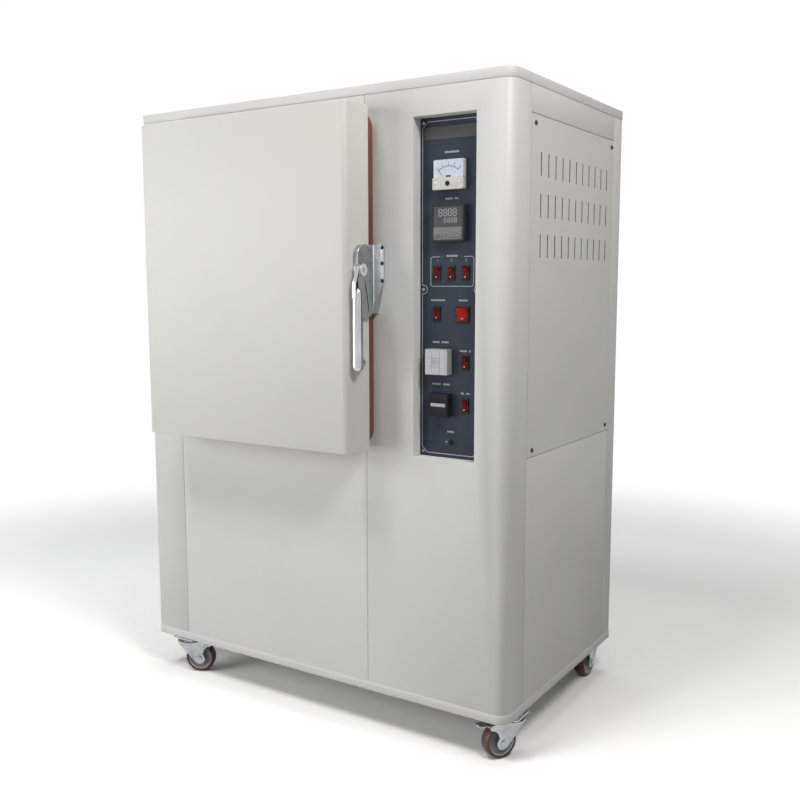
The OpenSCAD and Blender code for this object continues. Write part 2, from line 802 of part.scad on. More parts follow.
// Cabinet half of the two lift-off hinges, with the upright pins
module hinge_brackets() {
    half = hinge_l / 2;
    color("#c9cbce") in_cabinet() for (z = [door_z + hinge_inset, door_z + door_h - hinge_inset])
        translate([0, 0, z - half]) {
            block([hinge_x - bracket_w, -hinge_plate_t, 0], [bracket_w, hinge_plate_t, hinge_l]);
            block([hinge_x - knuckle_r, hinge_y, 0], [2 * knuckle_r - 2, -hinge_y, half - 1]);
            translate([hinge_x, hinge_y, 0]) {
                cylinder(r = knuckle_r, h = half - 1);
                cylinder(r = hinge_pin_r, h = hinge_l - 4);
            }
        }
}

// Door half of the hinges: a plate on the door's edge with a bored knuckle
module hinge_leaves() {
    half = hinge_l / 2;
    plate_x = door_x - hinge_plate_t + 1;
    color("#c9cbce") in_cabinet() for (z = [door_z + hinge_inset, door_z + door_h - hinge_inset])
        translate([0, 0, z]) difference() {
            union() {
                block([plate_x, hinge_y - leaf_w, -half], [door_x - plate_x, leaf_w, hinge_l]);
                block([hinge_x, hinge_y - knuckle_r, 0], [door_x - hinge_x, 2 * knuckle_r - 3, half]);
                translate([hinge_x, hinge_y, 0]) cylinder(r = knuckle_r, h = half);
            }
            translate([hinge_x, hinge_y, -over])
                cylinder(r = hinge_pin_r + hinge_pin_gap, h = half + over - 3);
        }
}

// Plan of the door with its rounded front edges
module door_plan(inset) {
    r = door_edge_r - inset;
    depth = door_t - inset;
    translate([door_x + inset, door_front_y + inset]) {
        translate([r, 0]) square([door_w - 2 * inset - 2 * r, depth]);
        translate([0, r]) square([door_w - 2 * inset, depth - r]);
        for (x = [r, door_w - 2 * inset - r]) translate([x, r]) circle(r);
    }
}

// Painted pan of the door, open at the back
module door_shell() {
    color("#e3e4e0") in_cabinet() translate([0, 0, door_z]) difference() {
        linear_extrude(door_h) door_plan(0);
        translate([0, over, door_skin_t]) linear_extrude(door_h - 2 * door_skin_t)
            door_plan(door_skin_t);
    }
}

// Stainless back of the door, pressed out into a plug that enters the mouth
module door_inner_panel() {
    plug_w = mouth_w - 2 * plug_gap;
    plug_h = mouth_h - 2 * plug_gap;
    plug_at = [mouth_x + plug_gap, mouth_z + plug_gap];
    fit = 0.3;
    color("#b9bcc0") in_cabinet() difference() {
        union() {
            block([door_x + door_skin_t + fit, -door_gap - liner_t, door_z + door_skin_t + fit],
                  [door_w - 2 * (door_skin_t + fit), liner_t, door_h - 2 * (door_skin_t + fit)]);
            raise_back(-door_gap - liner_t, door_gap + liner_t + plug_reach)
                round_rect(plug_at, [plug_w, plug_h], plug_r);
        }
        raise_back(-door_gap - liner_t - over, door_gap + plug_reach + over)
            round_rect([plug_at[0] + liner_t, plug_at[1] + liner_t],
                       [plug_w - 2 * liner_t, plug_h - 2 * liner_t], plug_r - liner_t);
    }
}

// Red silicone seal between the door and the cabinet front
module door_gasket() {
    outer = [door_w - 2 * gasket_inset, door_h - 2 * gasket_inset];
    at = [door_x + gasket_inset, door_z + gasket_inset];
    color("#8a3b28") in_cabinet() raise_back(-door_gap, door_gap - gasket_seat) difference() {
        round_rect(at, outer, gasket_r);
        round_rect([at[0] + gasket_w, at[1] + gasket_w],
                   [outer[0] - 2 * gasket_w, outer[1] - 2 * gasket_w], gasket_r - gasket_w / 2);
    }
}

// Outline of the latch base, seen from the right: an arch on a foot that slants in
module latch_outline() {
    front = latch_rear_y - 2 * latch_r;
    arch_z = pivot_z + latch_up - latch_r;
    bottom = pivot_z - latch_down;
    foot_front = latch_rear_y - 28;
    difference() {
        union() {
            translate([latch_rear_y - latch_r, arch_z]) circle(latch_r);
            translate([front, bottom]) square([2 * latch_r, arch_z - bottom]);
        }
        polygon([
            [front - over, pivot_z - waist_down], [front, pivot_z - waist_down],
            [foot_front, bottom + 7], [foot_front + 6, bottom],
            [foot_front + 6, bottom - over], [front - over, bottom - over]
        ]);
        polygon([
            [latch_rear_y - 6, bottom], [latch_rear_y, bottom + 6],
            [latch_rear_y + over, bottom + 6], [latch_rear_y + over, bottom - over],
            [latch_rear_y - 6, bottom - over]
        ]);
    }
}

// Cast base on the door's edge, with a slanting slot and a bore for the lock
module latch_base() {
    face_x = door_right + latch_t;
    slot_top = [-pivot_y + 22, pivot_z - 16];
    slot_low = [latch_rear_y - 8, pivot_z - latch_down + 8];
    color("#c4c8cc") in_cabinet() difference() {
        raise_right(door_right, latch_t) latch_outline();
        raise_right(face_x - latch_slot_d, latch_slot_d + over) polygon([
            slot_top, [slot_top[0] - latch_slot_w, slot_top[1]],
            [slot_low[0] - latch_slot_w, slot_low[1]], slot_low
        ]);
        rod_x([door_right + 4, -pivot_y, pivot_z], lock_r + lock_gap, latch_t);
    }
}

// Lock cylinder on the lever's axis, with its flanged face and keyway
module key_lock() {
    face_x = lever_x + lever_t + lever_gap;
    face_t = 1.5;
    color("#eceded") in_cabinet() difference() {
        union() {
            rod_x([door_right + 4, -pivot_y, pivot_z], lock_r, face_x - door_right - 4 + face_t);
            rod_x([face_x, -pivot_y, pivot_z], lock_r + 2, face_t);
        }
        raise_right(face_x + face_t - 1, 1 + over) translate([-pivot_y, pivot_z]) polygon([
            [0, 4.5], [2, 0], [0, -4.5], [-2, 0]
        ]);
    }
}

// Pull lever: hub round the lock, broad neck, round grip and curled toe
module latch_lever() {
    grip_top = pivot_z - grip_drop;
    grip_end = grip_top - grip_l;
    color("#cfd2d5") in_cabinet() difference() {
        union() {
            raise_right(lever_x, lever_t) {
                translate([-pivot_y, pivot_z]) circle(lever_hub_r);
                polygon([
                    [-pivot_y - lever_hub_r + 0.5, pivot_z + 3],
                    [-pivot_y + lever_hub_r - 1, pivot_z - 4],
                    [grip_y + grip_r + 4, grip_top - 4], [grip_y + grip_r, grip_top - 20],
                    [grip_y - grip_r, grip_top - 20], [grip_y - grip_r, grip_top + 6]
                ]);
            }
            translate([grip_x, grip_y, grip_end]) cylinder(r = grip_r, h = grip_l - grip_r);
            translate([grip_x, grip_y, grip_top - grip_r]) sphere(grip_r);
            translate([grip_x, grip_y, grip_end]) sphere(grip_r);
            translate([grip_x, grip_y, grip_end]) rotate([-62, 0, 0]) {
                cylinder(r = toe_r, h = toe_l);
                translate([0, 0, toe_l]) sphere(toe_r);
            }
        }
        rod_x([lever_x - over, -pivot_y, pivot_z], lock_r + lock_gap, lever_t + 2 * over);
        block([lever_x - grip_r, grip_y - grip_r - over, grip_top - grip_flat_l],
              [grip_r, 2 * (grip_r + over), grip_flat_l + grip_r]);
    }
}

// Wedge-shaped keeper screwed to the cabinet front, slanting in at its lower end
module latch_keeper() {
    x0 = door_right + keeper_gap;
    x1 = x0 + keeper_w;
    top = pivot_z + latch_up;
    bottom = top - keeper_h;
    color("#c0c4c8") in_cabinet() intersection() {
        translate([0, 0, bottom]) linear_extrude(keeper_h) polygon([
            [x0, 0], [x1, 0], [x1, -keeper_foot_t], [x1 - 5, -keeper_foot_t - 5],
            [x1 - 9, -keeper_out + 3], [x1 - 11, -keeper_out], [x0, -keeper_out]
        ]);
        raise_back(-keeper_out - over, keeper_out + over) polygon([
            [x0, bottom], [x0 + keeper_end_w, bottom], [x1, bottom + keeper_slant_h],
            [x1, top - 4], [x1 - 4, top], [x0, top]
        ]);
    }
}

// Top plates of the four casters, with bolt slots, race and king pin
module caster_plates() {
    slot_x = top_plate_l / 2 - slot_inset;
    slot_y = top_plate_w / 2 - slot_inset;
    pin_end = fork_drop + fork_t + swivel_gap;
    color("#b4b9bd") in_cabinet() for (at = swivels) translate([at[0], at[1], 0]) {
        translate([0, 0, -top_plate_t]) linear_extrude(top_plate_t) difference() {
            round_rect([-top_plate_l / 2, -top_plate_w / 2], [top_plate_l, top_plate_w], 6);
            for (x = [-slot_x, slot_x], y = [-slot_y, slot_y]) translate([x, y]) {
                square([5, 6.4], center = true);
                for (end = [-2.5, 2.5]) translate([end, 0]) circle(3.2);
            }
        }
        translate([0, 0, -top_plate_t - race_h])
            cylinder(r1 = race_r - 2, r2 = race_r, h = race_h + 0.2);
        translate([0, 0, -pin_end - 2]) cylinder(r = king_r, h = pin_end);
        translate([0, 0, -pin_end - 3]) cylinder(r = king_r + 3, h = 3);
    }
}

// Brings a caster's own measures to its swivel, with the trail along X
module at_swivel(at, turn) {
    in_cabinet() translate([at[0], at[1], 0]) rotate(turn) children();
}

// Side of a caster fork: broad below the crown, round at the axle, relieved behind it
module fork_side() {
    shoulder_r = 4;
    shoulder = [-fork_r * 0.7, -fork_drop - shoulder_r];
    ear_r = pedal_knuckle_r + 1.5;
    ear = [pedal_pin_x, pedal_pin_z];
    foot = [caster_trail, axle_z];
    difference() {
        union() {
            tapered_link(shoulder, shoulder_r, foot, foot_r);
            tapered_link(shoulder, shoulder_r, ear, ear_r);
            polygon([shoulder, ear, foot]);
        }
        translate([caster_trail + foot_r + relief_r - 4, pedal_pin_z - relief_r - 5])
            circle(relief_r);
    }
}

// Pressed fork: round crown, two sides and the axle bolt with its heads
module fork(at, turn) {
    outer = fork_half + fork_t;
    color("#b4b9bd") at_swivel(at, turn) {
        translate([0, 0, -fork_drop - fork_t]) linear_extrude(fork_t) difference() {
            union() {
                circle(fork_r);
                translate([0, -outer]) square([caster_trail + foot_r, 2 * outer]);
            }
            circle(king_r + swivel_gap);
        }
        for (y = [fork_half, -outer]) raise_back(y, fork_t) fork_side();
        rod_y([caster_trail, -outer - 2, axle_z], axle_r, 2 * outer + 4);
        for (y = [-outer - 4, outer - 0.2])
            rod_y([caster_trail, y, axle_z], axle_r + 2.5, 4.2);
    }
}

// Wheel with a crowned tread, a dished hub and a bore for the axle
module wheel(at, turn) {
    half = wheel_w / 2;
    rim_r = wheel_r - tread_t;
    bore_r = axle_r + axle_gap;
    color("#6b2a22") at_swivel(at, turn) translate([caster_trail, 0, axle_z]) rotate([-90, 0, 0])
        rotate_extrude() polygon([
            [bore_r, -half - 1.5], [9, -half - 1.5], [11, -half + 3], [rim_r - 2, -half + 2],
            [rim_r, -half + 0.5], [wheel_r - 3, -half], [wheel_r - 0.8, -half + 3.5],
            [wheel_r, -half / 3], [wheel_r, half / 3], [wheel_r - 0.8, half - 3.5],
            [wheel_r - 3, half], [rim_r, half - 0.5], [rim_r - 2, half - 2],
            [11, half - 3], [9, half + 1.5], [bore_r, half + 1.5]
        ]);
}

// Foot pedal behind the front right wheel, on a cross pin in the fork's ears
module front_right_brake_pedal() {
    side_gap = 0.3;
    lip = 5;
    color("#c2c6c9") at_swivel(front_right_swivel, front_right_turn)
        translate([pedal_pin_x, 0, pedal_pin_z]) {
            rod_y([0, -fork_half + side_gap, 0], pedal_pin_r, 2 * (fork_half - side_gap));
            rod_y([0, -pedal_w / 2, 0], pedal_knuckle_r, pedal_w);
            raise_back(-pedal_w / 2, pedal_w) polygon([
                [0, pedal_knuckle_r - pedal_t], [0, pedal_knuckle_r],
                [pedal_l - lip, pedal_knuckle_r + 1], [pedal_l, pedal_knuckle_r + 4],
                [pedal_l + 1, pedal_knuckle_r + 4 - pedal_t],
                [pedal_l - lip + 1, pedal_knuckle_r + 1 - pedal_t]
            ]);
        }
}

base_tray();
left_side_panel();
front_panel();
control_column();
right_side_skin();
vent_cover();
rear_panel();
top_cap();
chamber_liner();
uv_lamp();
specimen_turntable();
control_plate();
ammeter();
temperature_controller();
test_timer();
hour_meter();
fuse_holder();
switch_bezels();
hinge_brackets();
latch_keeper();
caster_plates();
door_shell();
door_inner_panel();
door_gasket();
hinge_leaves();
latch_base();
key_lock();
latch_lever();
rocker(places[0]);  // heater_rocker_1
rocker(places[1]);  // heater_rocker_2
rocker(places[2]);  // heater_rocker_3
rocker(places[3]);  // rotation_rocker
rocker(places[4]);  // power_rocker
rocker(places[5]);  // timer_rocker
rocker(places[6]);  // meter_rocker
fork(front_left_swivel, front_left_turn);  // front_left_fork
wheel(front_left_swivel, front_left_turn);  // front_left_wheel
fork(front_right_swivel, front_right_turn);  // front_right_fork
wheel(front_right_swivel, front_right_turn);  // front_right_wheel
front_right_brake_pedal();
fork(rear_left_swivel, rear_left_turn);  // rear_left_fork
wheel(rear_left_swivel, rear_left_turn);  // rear_left_wheel
fork(rear_right_swivel, rear_right_turn);  // rear_right_fork
wheel(rear_right_swivel, rear_right_turn);  // rear_right_wheel
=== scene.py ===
import bmesh
import bpy
import json
import math
from mathutils import Euler, Matrix, Vector


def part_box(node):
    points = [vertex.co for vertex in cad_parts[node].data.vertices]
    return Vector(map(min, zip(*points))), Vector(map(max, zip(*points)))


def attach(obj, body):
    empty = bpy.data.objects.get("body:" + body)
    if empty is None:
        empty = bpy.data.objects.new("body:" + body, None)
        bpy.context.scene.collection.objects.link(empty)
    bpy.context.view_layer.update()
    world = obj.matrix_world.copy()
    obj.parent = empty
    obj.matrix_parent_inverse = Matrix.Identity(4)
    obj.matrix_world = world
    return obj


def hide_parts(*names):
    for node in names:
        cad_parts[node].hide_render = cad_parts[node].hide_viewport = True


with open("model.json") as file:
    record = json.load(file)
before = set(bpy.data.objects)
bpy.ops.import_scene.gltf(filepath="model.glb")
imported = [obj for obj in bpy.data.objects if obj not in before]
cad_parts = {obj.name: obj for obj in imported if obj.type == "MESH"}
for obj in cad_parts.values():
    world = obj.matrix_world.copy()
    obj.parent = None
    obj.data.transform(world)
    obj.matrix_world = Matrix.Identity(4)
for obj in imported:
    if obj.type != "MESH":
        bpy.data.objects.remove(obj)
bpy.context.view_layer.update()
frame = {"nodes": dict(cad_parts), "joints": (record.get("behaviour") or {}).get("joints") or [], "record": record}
record = frame["record"]
body_of = {node: body for body, nodes in record["behaviour"]["bodies"].items() for node in nodes}
joint_of = {joint["name"]: joint for joint in frame["joints"]}
bpy.context.scene.view_settings.view_transform = "Standard"

# Camera at the height of a standing person, to the right of the cabinet.
# It is a short tele lens on a full-frame sensor, turned left and slightly down.
# It is placed from the cabinet's front left lower corner, inside the tray's proud rim.
rim_proud = 0.001
tray_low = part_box("base_tray")[0]
corner = Vector((tray_low.x + rim_proud, tray_low.y + rim_proud, tray_low.z))
camera_from_corner = Vector((1.7499, -1.5999, 0.8760))
camera_yaw = math.radians(32.761)
camera_pitch = math.radians(-7.106)
camera_roll = math.radians(-0.095)
camera_data = bpy.data.cameras.new("photo_camera")
camera_data.sensor_width = 36.0
camera_data.lens = 42.287
camera = bpy.data.objects.new("photo_camera", camera_data)
camera.matrix_world = (Matrix.Translation(corner + camera_from_corner)
                       @ Matrix.Rotation(camera_yaw, 4, "Z")
                       @ Matrix.Rotation(math.pi / 2 + camera_pitch, 4, "X")
                       @ Matrix.Rotation(camera_roll, 4, "Z"))
bpy.context.scene.collection.objects.link(camera)
bpy.context.scene.camera = camera


# Studio lamps: a large soft key high in front, a low one from the left, a small warm one
# from the front right and a broad panel overhead. All stand well outside the picture.
def softbox(name, place, target, size, power, tint):
    """A rectangular area lamp at a place, aimed at the target."""
    data = bpy.data.lights.new(name, "AREA")
    data.shape = "RECTANGLE"
    data.size, data.size_y = size
    data.energy = power
    data.color = tint
    lamp = bpy.data.objects.new(name, data)
    aim = (Vector(target) - Vector(place)).to_track_quat("-Z", "Y")
    lamp.matrix_world = Matrix.Translation(place) @ aim.to_matrix().to_4x4()
    bpy.context.scene.collection.objects.link(lamp)


softbox("key_softbox", (-0.84, -2.99, 6.0), (0.0, 0.0, 0.6), (1.2, 1.2), 90.0,
        (1.0, 0.997, 0.99))
softbox("left_softbox", (-2.1, -2.5, 1.0), (-0.3, 0.0, 0.4), (1.8, 1.8), 46.0,
        (1.0, 0.998, 0.995))
softbox("top_softbox", (0.1, 0.3, 4.6), (0.1, 0.2, 0.0), (2.4, 2.4), 48.0,
        (1.0, 1.0, 1.0))
softbox("right_softbox", (1.55, -0.95, 2.2), (0.45, -0.1, 1.1), (0.6, 0.6), 21.0,
        (1.0, 0.985, 0.955))

# Surroundings: a dim even sky that lights the cabinet from all sides.
# The camera, polished metal and glass see plain white in its place.
def sight_of(tree):
    """A socket that is 1 for camera, glossy and transmission rays and 0 for the others."""
    path = tree.nodes.new("ShaderNodeLightPath")
    sight = path.outputs["Is Camera Ray"]
    for ray in ("Is Glossy Ray", "Is Transmission Ray"):
        either = tree.nodes.new("ShaderNodeMath")
        either.operation = "MAXIMUM"
        tree.links.new(sight, either.inputs[0])
        tree.links.new(path.outputs[ray], either.inputs[1])
        sight = either.outputs[0]
    return sight


studio = bpy.data.worlds.new("studio")
bpy.context.scene.world = studio
studio.use_nodes = True
sky = studio.node_tree
sky.nodes.clear()
sky_out = sky.nodes.new("ShaderNodeOutputWorld")
sky_light = sky.nodes.new("ShaderNodeBackground")
sky_light.inputs["Color"].default_value = (0.94, 0.96, 1.0, 1.0)
sky_light.inputs["Strength"].default_value = 0.08
sky_white = sky.nodes.new("ShaderNodeBackground")
sky_white.inputs["Color"].default_value = (1.0, 1.0, 1.0, 1.0)
sky_white.inputs["Strength"].default_value = 1.0
sky_mix = sky.nodes.new("ShaderNodeMixShader")
sky.links.new(sight_of(sky), sky_mix.inputs["Fac"])
sky.links.new(sky_light.outputs[0], sky_mix.inputs[1])
sky.links.new(sky_white.outputs[0], sky_mix.inputs[2])
sky.links.new(sky_mix.outputs[0], sky_out.inputs["Surface"])

# Plain pale floor: a matt white sweep that carries the cabinet's shadow. Where it is seen
# it is lifted, and from fade_from to fade_to metres out it turns into the white background.
floor_half = 14.0
fade_from, fade_to = 1.5, 2.6
floor_mesh = bpy.data.meshes.new("studio_floor")
floor_mesh.from_pydata(
    [(-floor_half, -floor_half, 0), (floor_half, -floor_half, 0),
     (floor_half, floor_half, 0), (-floor_half, floor_half, 0)], [], [(0, 1, 2, 3)])
studio_floor = bpy.data.objects.new("studio_floor", floor_mesh)
bpy.context.scene.collection.objects.link(studio_floor)
floor_paint = bpy.data.materials.new("floor_sweep")
floor_paint.use_nodes = True
sweep = floor_paint.node_tree
sweep.nodes.clear()
floor_out = sweep.nodes.new("ShaderNodeOutputMaterial")
floor_matt = sweep.nodes.new("ShaderNodeBsdfDiffuse")
floor_matt.inputs["Color"].default_value = (0.41, 0.41, 0.41, 1.0)
floor_seen = sweep.nodes.new("ShaderNodeBsdfDiffuse")
floor_sight = sight_of(sweep)
floor_both = sweep.nodes.new("ShaderNodeAddShader")
floor_white = sweep.nodes.new("ShaderNodeEmission")
floor_place = sweep.nodes.new("ShaderNodeTexCoord")
floor_reach = sweep.nodes.new("ShaderNodeVectorMath")
floor_reach.operation = "LENGTH"
floor_fade = sweep.nodes.new("ShaderNodeMapRange")
floor_fade.interpolation_type = "SMOOTHSTEP"
floor_fade.inputs["From Min"].default_value = fade_from
floor_fade.inputs["From Max"].default_value = fade_to
floor_far = sweep.nodes.new("ShaderNodeMath")
floor_far.operation = "MULTIPLY"
floor_mix = sweep.nodes.new("ShaderNodeMixShader")
sweep.links.new(floor_sight, floor_seen.inputs["Color"])
sweep.links.new(floor_matt.outputs[0], floor_both.inputs[0])
sweep.links.new(floor_seen.outputs[0], floor_both.inputs[1])
sweep.links.new(floor_place.outputs["Object"], floor_reach.inputs[0])
sweep.links.new(floor_reach.outputs["Value"], floor_fade.inputs["Value"])
sweep.links.new(floor_fade.outputs["Result"], floor_far.inputs[0])
sweep.links.new(floor_sight, floor_far.inputs[1])
sweep.links.new(floor_far.outputs[0], floor_mix.inputs["Fac"])
sweep.links.new(floor_both.outputs[0], floor_mix.inputs[1])
sweep.links.new(floor_white.outputs[0], floor_mix.inputs[2])
sweep.links.new(floor_mix.outputs[0], floor_out.inputs["Surface"])
floor_mesh.materials.append(floor_paint)


# Cabinet skin: folded steel sheet, 2 mm thick, in an off-white powder coat with a fine
# orange-peel texture. The panels meet at narrow seams between a proud base tray and
# top cap, and are held by hidden screws behind their flanges.
def group_sockets(group, inputs, outputs):
    """Named inputs and outputs for a node group, with its two end nodes."""
    for name, kind, value in inputs:
        socket = group.interface.new_socket(name, in_out="INPUT", socket_type=kind)
        if value is not None:
            socket.default_value = value
    for name, kind in outputs:
        group.interface.new_socket(name, in_out="OUTPUT", socket_type=kind)
    return group.nodes.new("NodeGroupInput"), group.nodes.new("NodeGroupOutput")


def grain_and_cloud_group():
    """Two noises on the piece's own coordinates: a fine grain and a slow cloud."""
    group = bpy.data.node_groups.new("grain_and_cloud", "ShaderNodeTree")
    start, end = group_sockets(
        group,
        [("Grain Scale", "NodeSocketFloat", 900.0), ("Cloud Scale", "NodeSocketFloat", 3.0),
         ("Stretch", "NodeSocketVector", (1.0, 1.0, 1.0))],
        [("Grain", "NodeSocketFloat"), ("Cloud", "NodeSocketFloat")])
    place = group.nodes.new("ShaderNodeTexCoord")
    stretch = group.nodes.new("ShaderNodeVectorMath")
    stretch.operation = "MULTIPLY"
    grain = group.nodes.new("ShaderNodeTexNoise")
    grain.inputs["Detail"].default_value = 3.0
    cloud = group.nodes.new("ShaderNodeTexNoise")
    cloud.inputs["Detail"].default_value = 4.0
    link = group.links.new
    link(place.outputs["Object"], stretch.inputs[0])
    link(start.outputs["Stretch"], stretch.inputs[1])
    link(stretch.outputs[0], grain.inputs["Vector"])
    link(place.outputs["Object"], cloud.inputs["Vector"])
    link(start.outputs["Grain Scale"], grain.inputs["Scale"])
    link(start.outputs["Cloud Scale"], cloud.inputs["Scale"])
    link(grain.outputs["Fac"], end.inputs["Grain"])
    link(cloud.outputs["Fac"], end.inputs["Cloud"])
    return group


grain_and_cloud = grain_and_cloud_group()


def finish_material(name, dark, light, rough, grain_scale, bump, metallic=0.0,
                    stretch=(1.0, 1.0, 1.0), cloud_scale=3.0, coat=0.0, specular=0.5):
    """A surface whose colour drifts from dark to light, with grain in its height and gloss."""
    noise_low, noise_high, coat_rough = 0.3, 0.7, 0.05
    material = bpy.data.materials.new(name)
    material.use_nodes = True
    nodes, link = material.node_tree.nodes, material.node_tree.links.new
    nodes.clear()
    out = nodes.new("ShaderNodeOutputMaterial")
    shader = nodes.new("ShaderNodeBsdfPrincipled")
    shader.inputs["Metallic"].default_value = metallic
    shader.inputs["Coat Weight"].default_value = coat
    shader.inputs["Coat Roughness"].default_value = coat_rough
    shader.inputs["Specular IOR Level"].default_value = specular
    texture = nodes.new("ShaderNodeGroup")
    texture.node_tree = grain_and_cloud
    texture.inputs["Grain Scale"].default_value = grain_scale
    texture.inputs["Cloud Scale"].default_value = cloud_scale
    texture.inputs["Stretch"].default_value = stretch
    spread = nodes.new("ShaderNodeMapRange")
    spread.inputs["From Min"].default_value = noise_low
    spread.inputs["From Max"].default_value = noise_high
    tone = nodes.new("ShaderNodeMix")
    tone.data_type = "RGBA"
    tone.inputs["A"].default_value = (*dark, 1.0)
    tone.inputs["B"].default_value = (*light, 1.0)
    gloss = nodes.new("ShaderNodeMapRange")
    gloss.inputs["From Min"].default_value = noise_low
    gloss.inputs["From Max"].default_value = noise_high
    gloss.inputs["To Min"].default_value = rough[0]
    gloss.inputs["To Max"].default_value = rough[1]
    relief = nodes.new("ShaderNodeBump")
    relief.inputs["Strength"].default_value = bump[0]
    relief.inputs["Distance"].default_value = bump[1]
    link(texture.outputs["Cloud"], spread.inputs["Value"])
    link(spread.outputs["Result"], tone.inputs["Factor"])
    link(texture.outputs["Grain"], gloss.inputs["Value"])
    link(texture.outputs["Grain"], relief.inputs["Height"])
    link(tone.outputs["Result"], shader.inputs["Base Color"])
    link(gloss.outputs["Result"], shader.inputs["Roughness"])
    link(relief.outputs["Normal"], shader.inputs["Normal"])
    link(shader.outputs[0], out.inputs["Surface"])
    return material


powder_coat = finish_material(
    "off_white_powder_coat", (0.710, 0.710, 0.690), (0.770, 0.770, 0.750), (0.36, 0.54),
    900.0, (0.16, 0.0006), cloud_scale=2.2)


weld_within = 1e-5
flat_within = math.radians(0.5)
bevel_from = math.radians(35)
crease_from = math.radians(28)


def merged_copy(node):
    """A copy of a CAD node's mesh with its corners merged and its flat faces whole."""
    mesh = frame["nodes"][node].data.copy()
    solid = bmesh.new()
    solid.from_mesh(mesh)
    bmesh.ops.remove_doubles(solid, verts=solid.verts, dist=weld_within)
    bmesh.ops.dissolve_limit(solid, angle_limit=flat_within,
                             verts=solid.verts, edges=solid.edges)
    solid.to_mesh(mesh)
    solid.free()
    mesh.materials.clear()
    return mesh


def settled(piece):
    """The piece with its modifiers applied, as a plain mesh at the origin."""
    graph = bpy.context.evaluated_depsgraph_get()
    mesh = bpy.data.meshes.new_from_object(piece.evaluated_get(graph))
    piece.modifiers.clear()
    piece.data = mesh


def dressed(node, materials, radius, segments=2, choose=None):
    """A copy of a CAD node that takes its place, its edges rounded where radius is above 0."""
    piece = bpy.data.objects.new(node + "_finish", merged_copy(node))
    bpy.context.scene.collection.objects.link(piece)
    for material in materials:
        piece.data.materials.append(material)
    if choose is not None:
        for face in piece.data.polygons:
            face.material_index = choose(face)
    if radius > 0:
        edge = piece.modifiers.new("soft_edge", "BEVEL")
        edge.width = radius
        edge.segments = segments
        edge.limit_method = "ANGLE"
        edge.angle_limit = bevel_from
        edge.use_clamp_overlap = True
        settled(piece)
    piece.data.shade_smooth()
    piece.data.set_sharp_from_angle(angle=crease_from)
    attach(piece, body_of[node])
    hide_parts(node)


for sheet_name in ("base_tray", "top_cap", "left_side_panel", "front_panel", "control_column",
                   "right_side_skin", "rear_panel"):
    dressed(sheet_name, [powder_coat], 0.0006)


# Vent cover: a flat powder-coated sheet with three rows of punched slots, held by four
# screws over the hollow side. The slots' cut edges are painted black and a black sheet stands
# behind them, as painted shade for the dark slots.
cover_low, cover_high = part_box("vent_cover")
vent_shade = finish_material(
    "painted_shade_vent_black", (0.006, 0.006, 0.006), (0.010, 0.010, 0.010), (0.70, 0.80),
    400.0, (0.02, 0.0001), specular=0.05)


cover_rim = 0.010
shade_x, shade_y, shade_z = (0.0034, 0.0026), (0.040, 0.425), (0.280, 0.060)


def formed(name, form, materials, body, smooth=True):
    """The closed mesh as a finished piece on a body, its faces turned outwards."""
    bmesh.ops.recalc_face_normals(form, faces=form.faces)
    mesh = bpy.data.meshes.new(name)
    form.to_mesh(mesh)
    form.free()
    for material in materials:
        mesh.materials.append(material)
    if smooth:
        mesh.shade_smooth()
        mesh.set_sharp_from_angle(angle=crease_from)
    piece = bpy.data.objects.new(name, mesh)
    bpy.context.scene.collection.objects.link(piece)
    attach(piece, body)


# Slot walls take the second material, black as painted shade.
def sheet_or_slot_shade(face):
    at, normal = face.center, face.normal
    inside = (cover_low.y + cover_rim < at.y < cover_high.y - cover_rim
              and cover_low.z + cover_rim < at.z < cover_high.z - cover_rim)
    return 1 if inside and abs(normal.x) < 0.5 else 0


dressed("vent_cover", [powder_coat, vent_shade], 0.0, choose=sheet_or_slot_shade)
# A thin black sheet just behind the slots, as painted shade for the dark hollow behind them.
shade = bmesh.new()
for x in shade_x:
    for y in shade_y:
        for z in shade_z:
            shade.verts.new((cover_high.x - x, cover_low.y + y, cover_high.z - z))
bmesh.ops.convex_hull(shade, input=shade.verts)
formed("vent_shade", shade, [vent_shade], "cabinet", smooth=False)


# Screws of the vent cover: cross-headed, blackened steel, one near each corner.
# They hold the removable cover to the frame behind it. Measures are in millimetres
# from the cabinet's corner.
def spot(x, y, z):
    """A place on the cabinet, from millimetres out of its front left lower corner."""
    return corner + Vector((x, y, z)) * 0.001


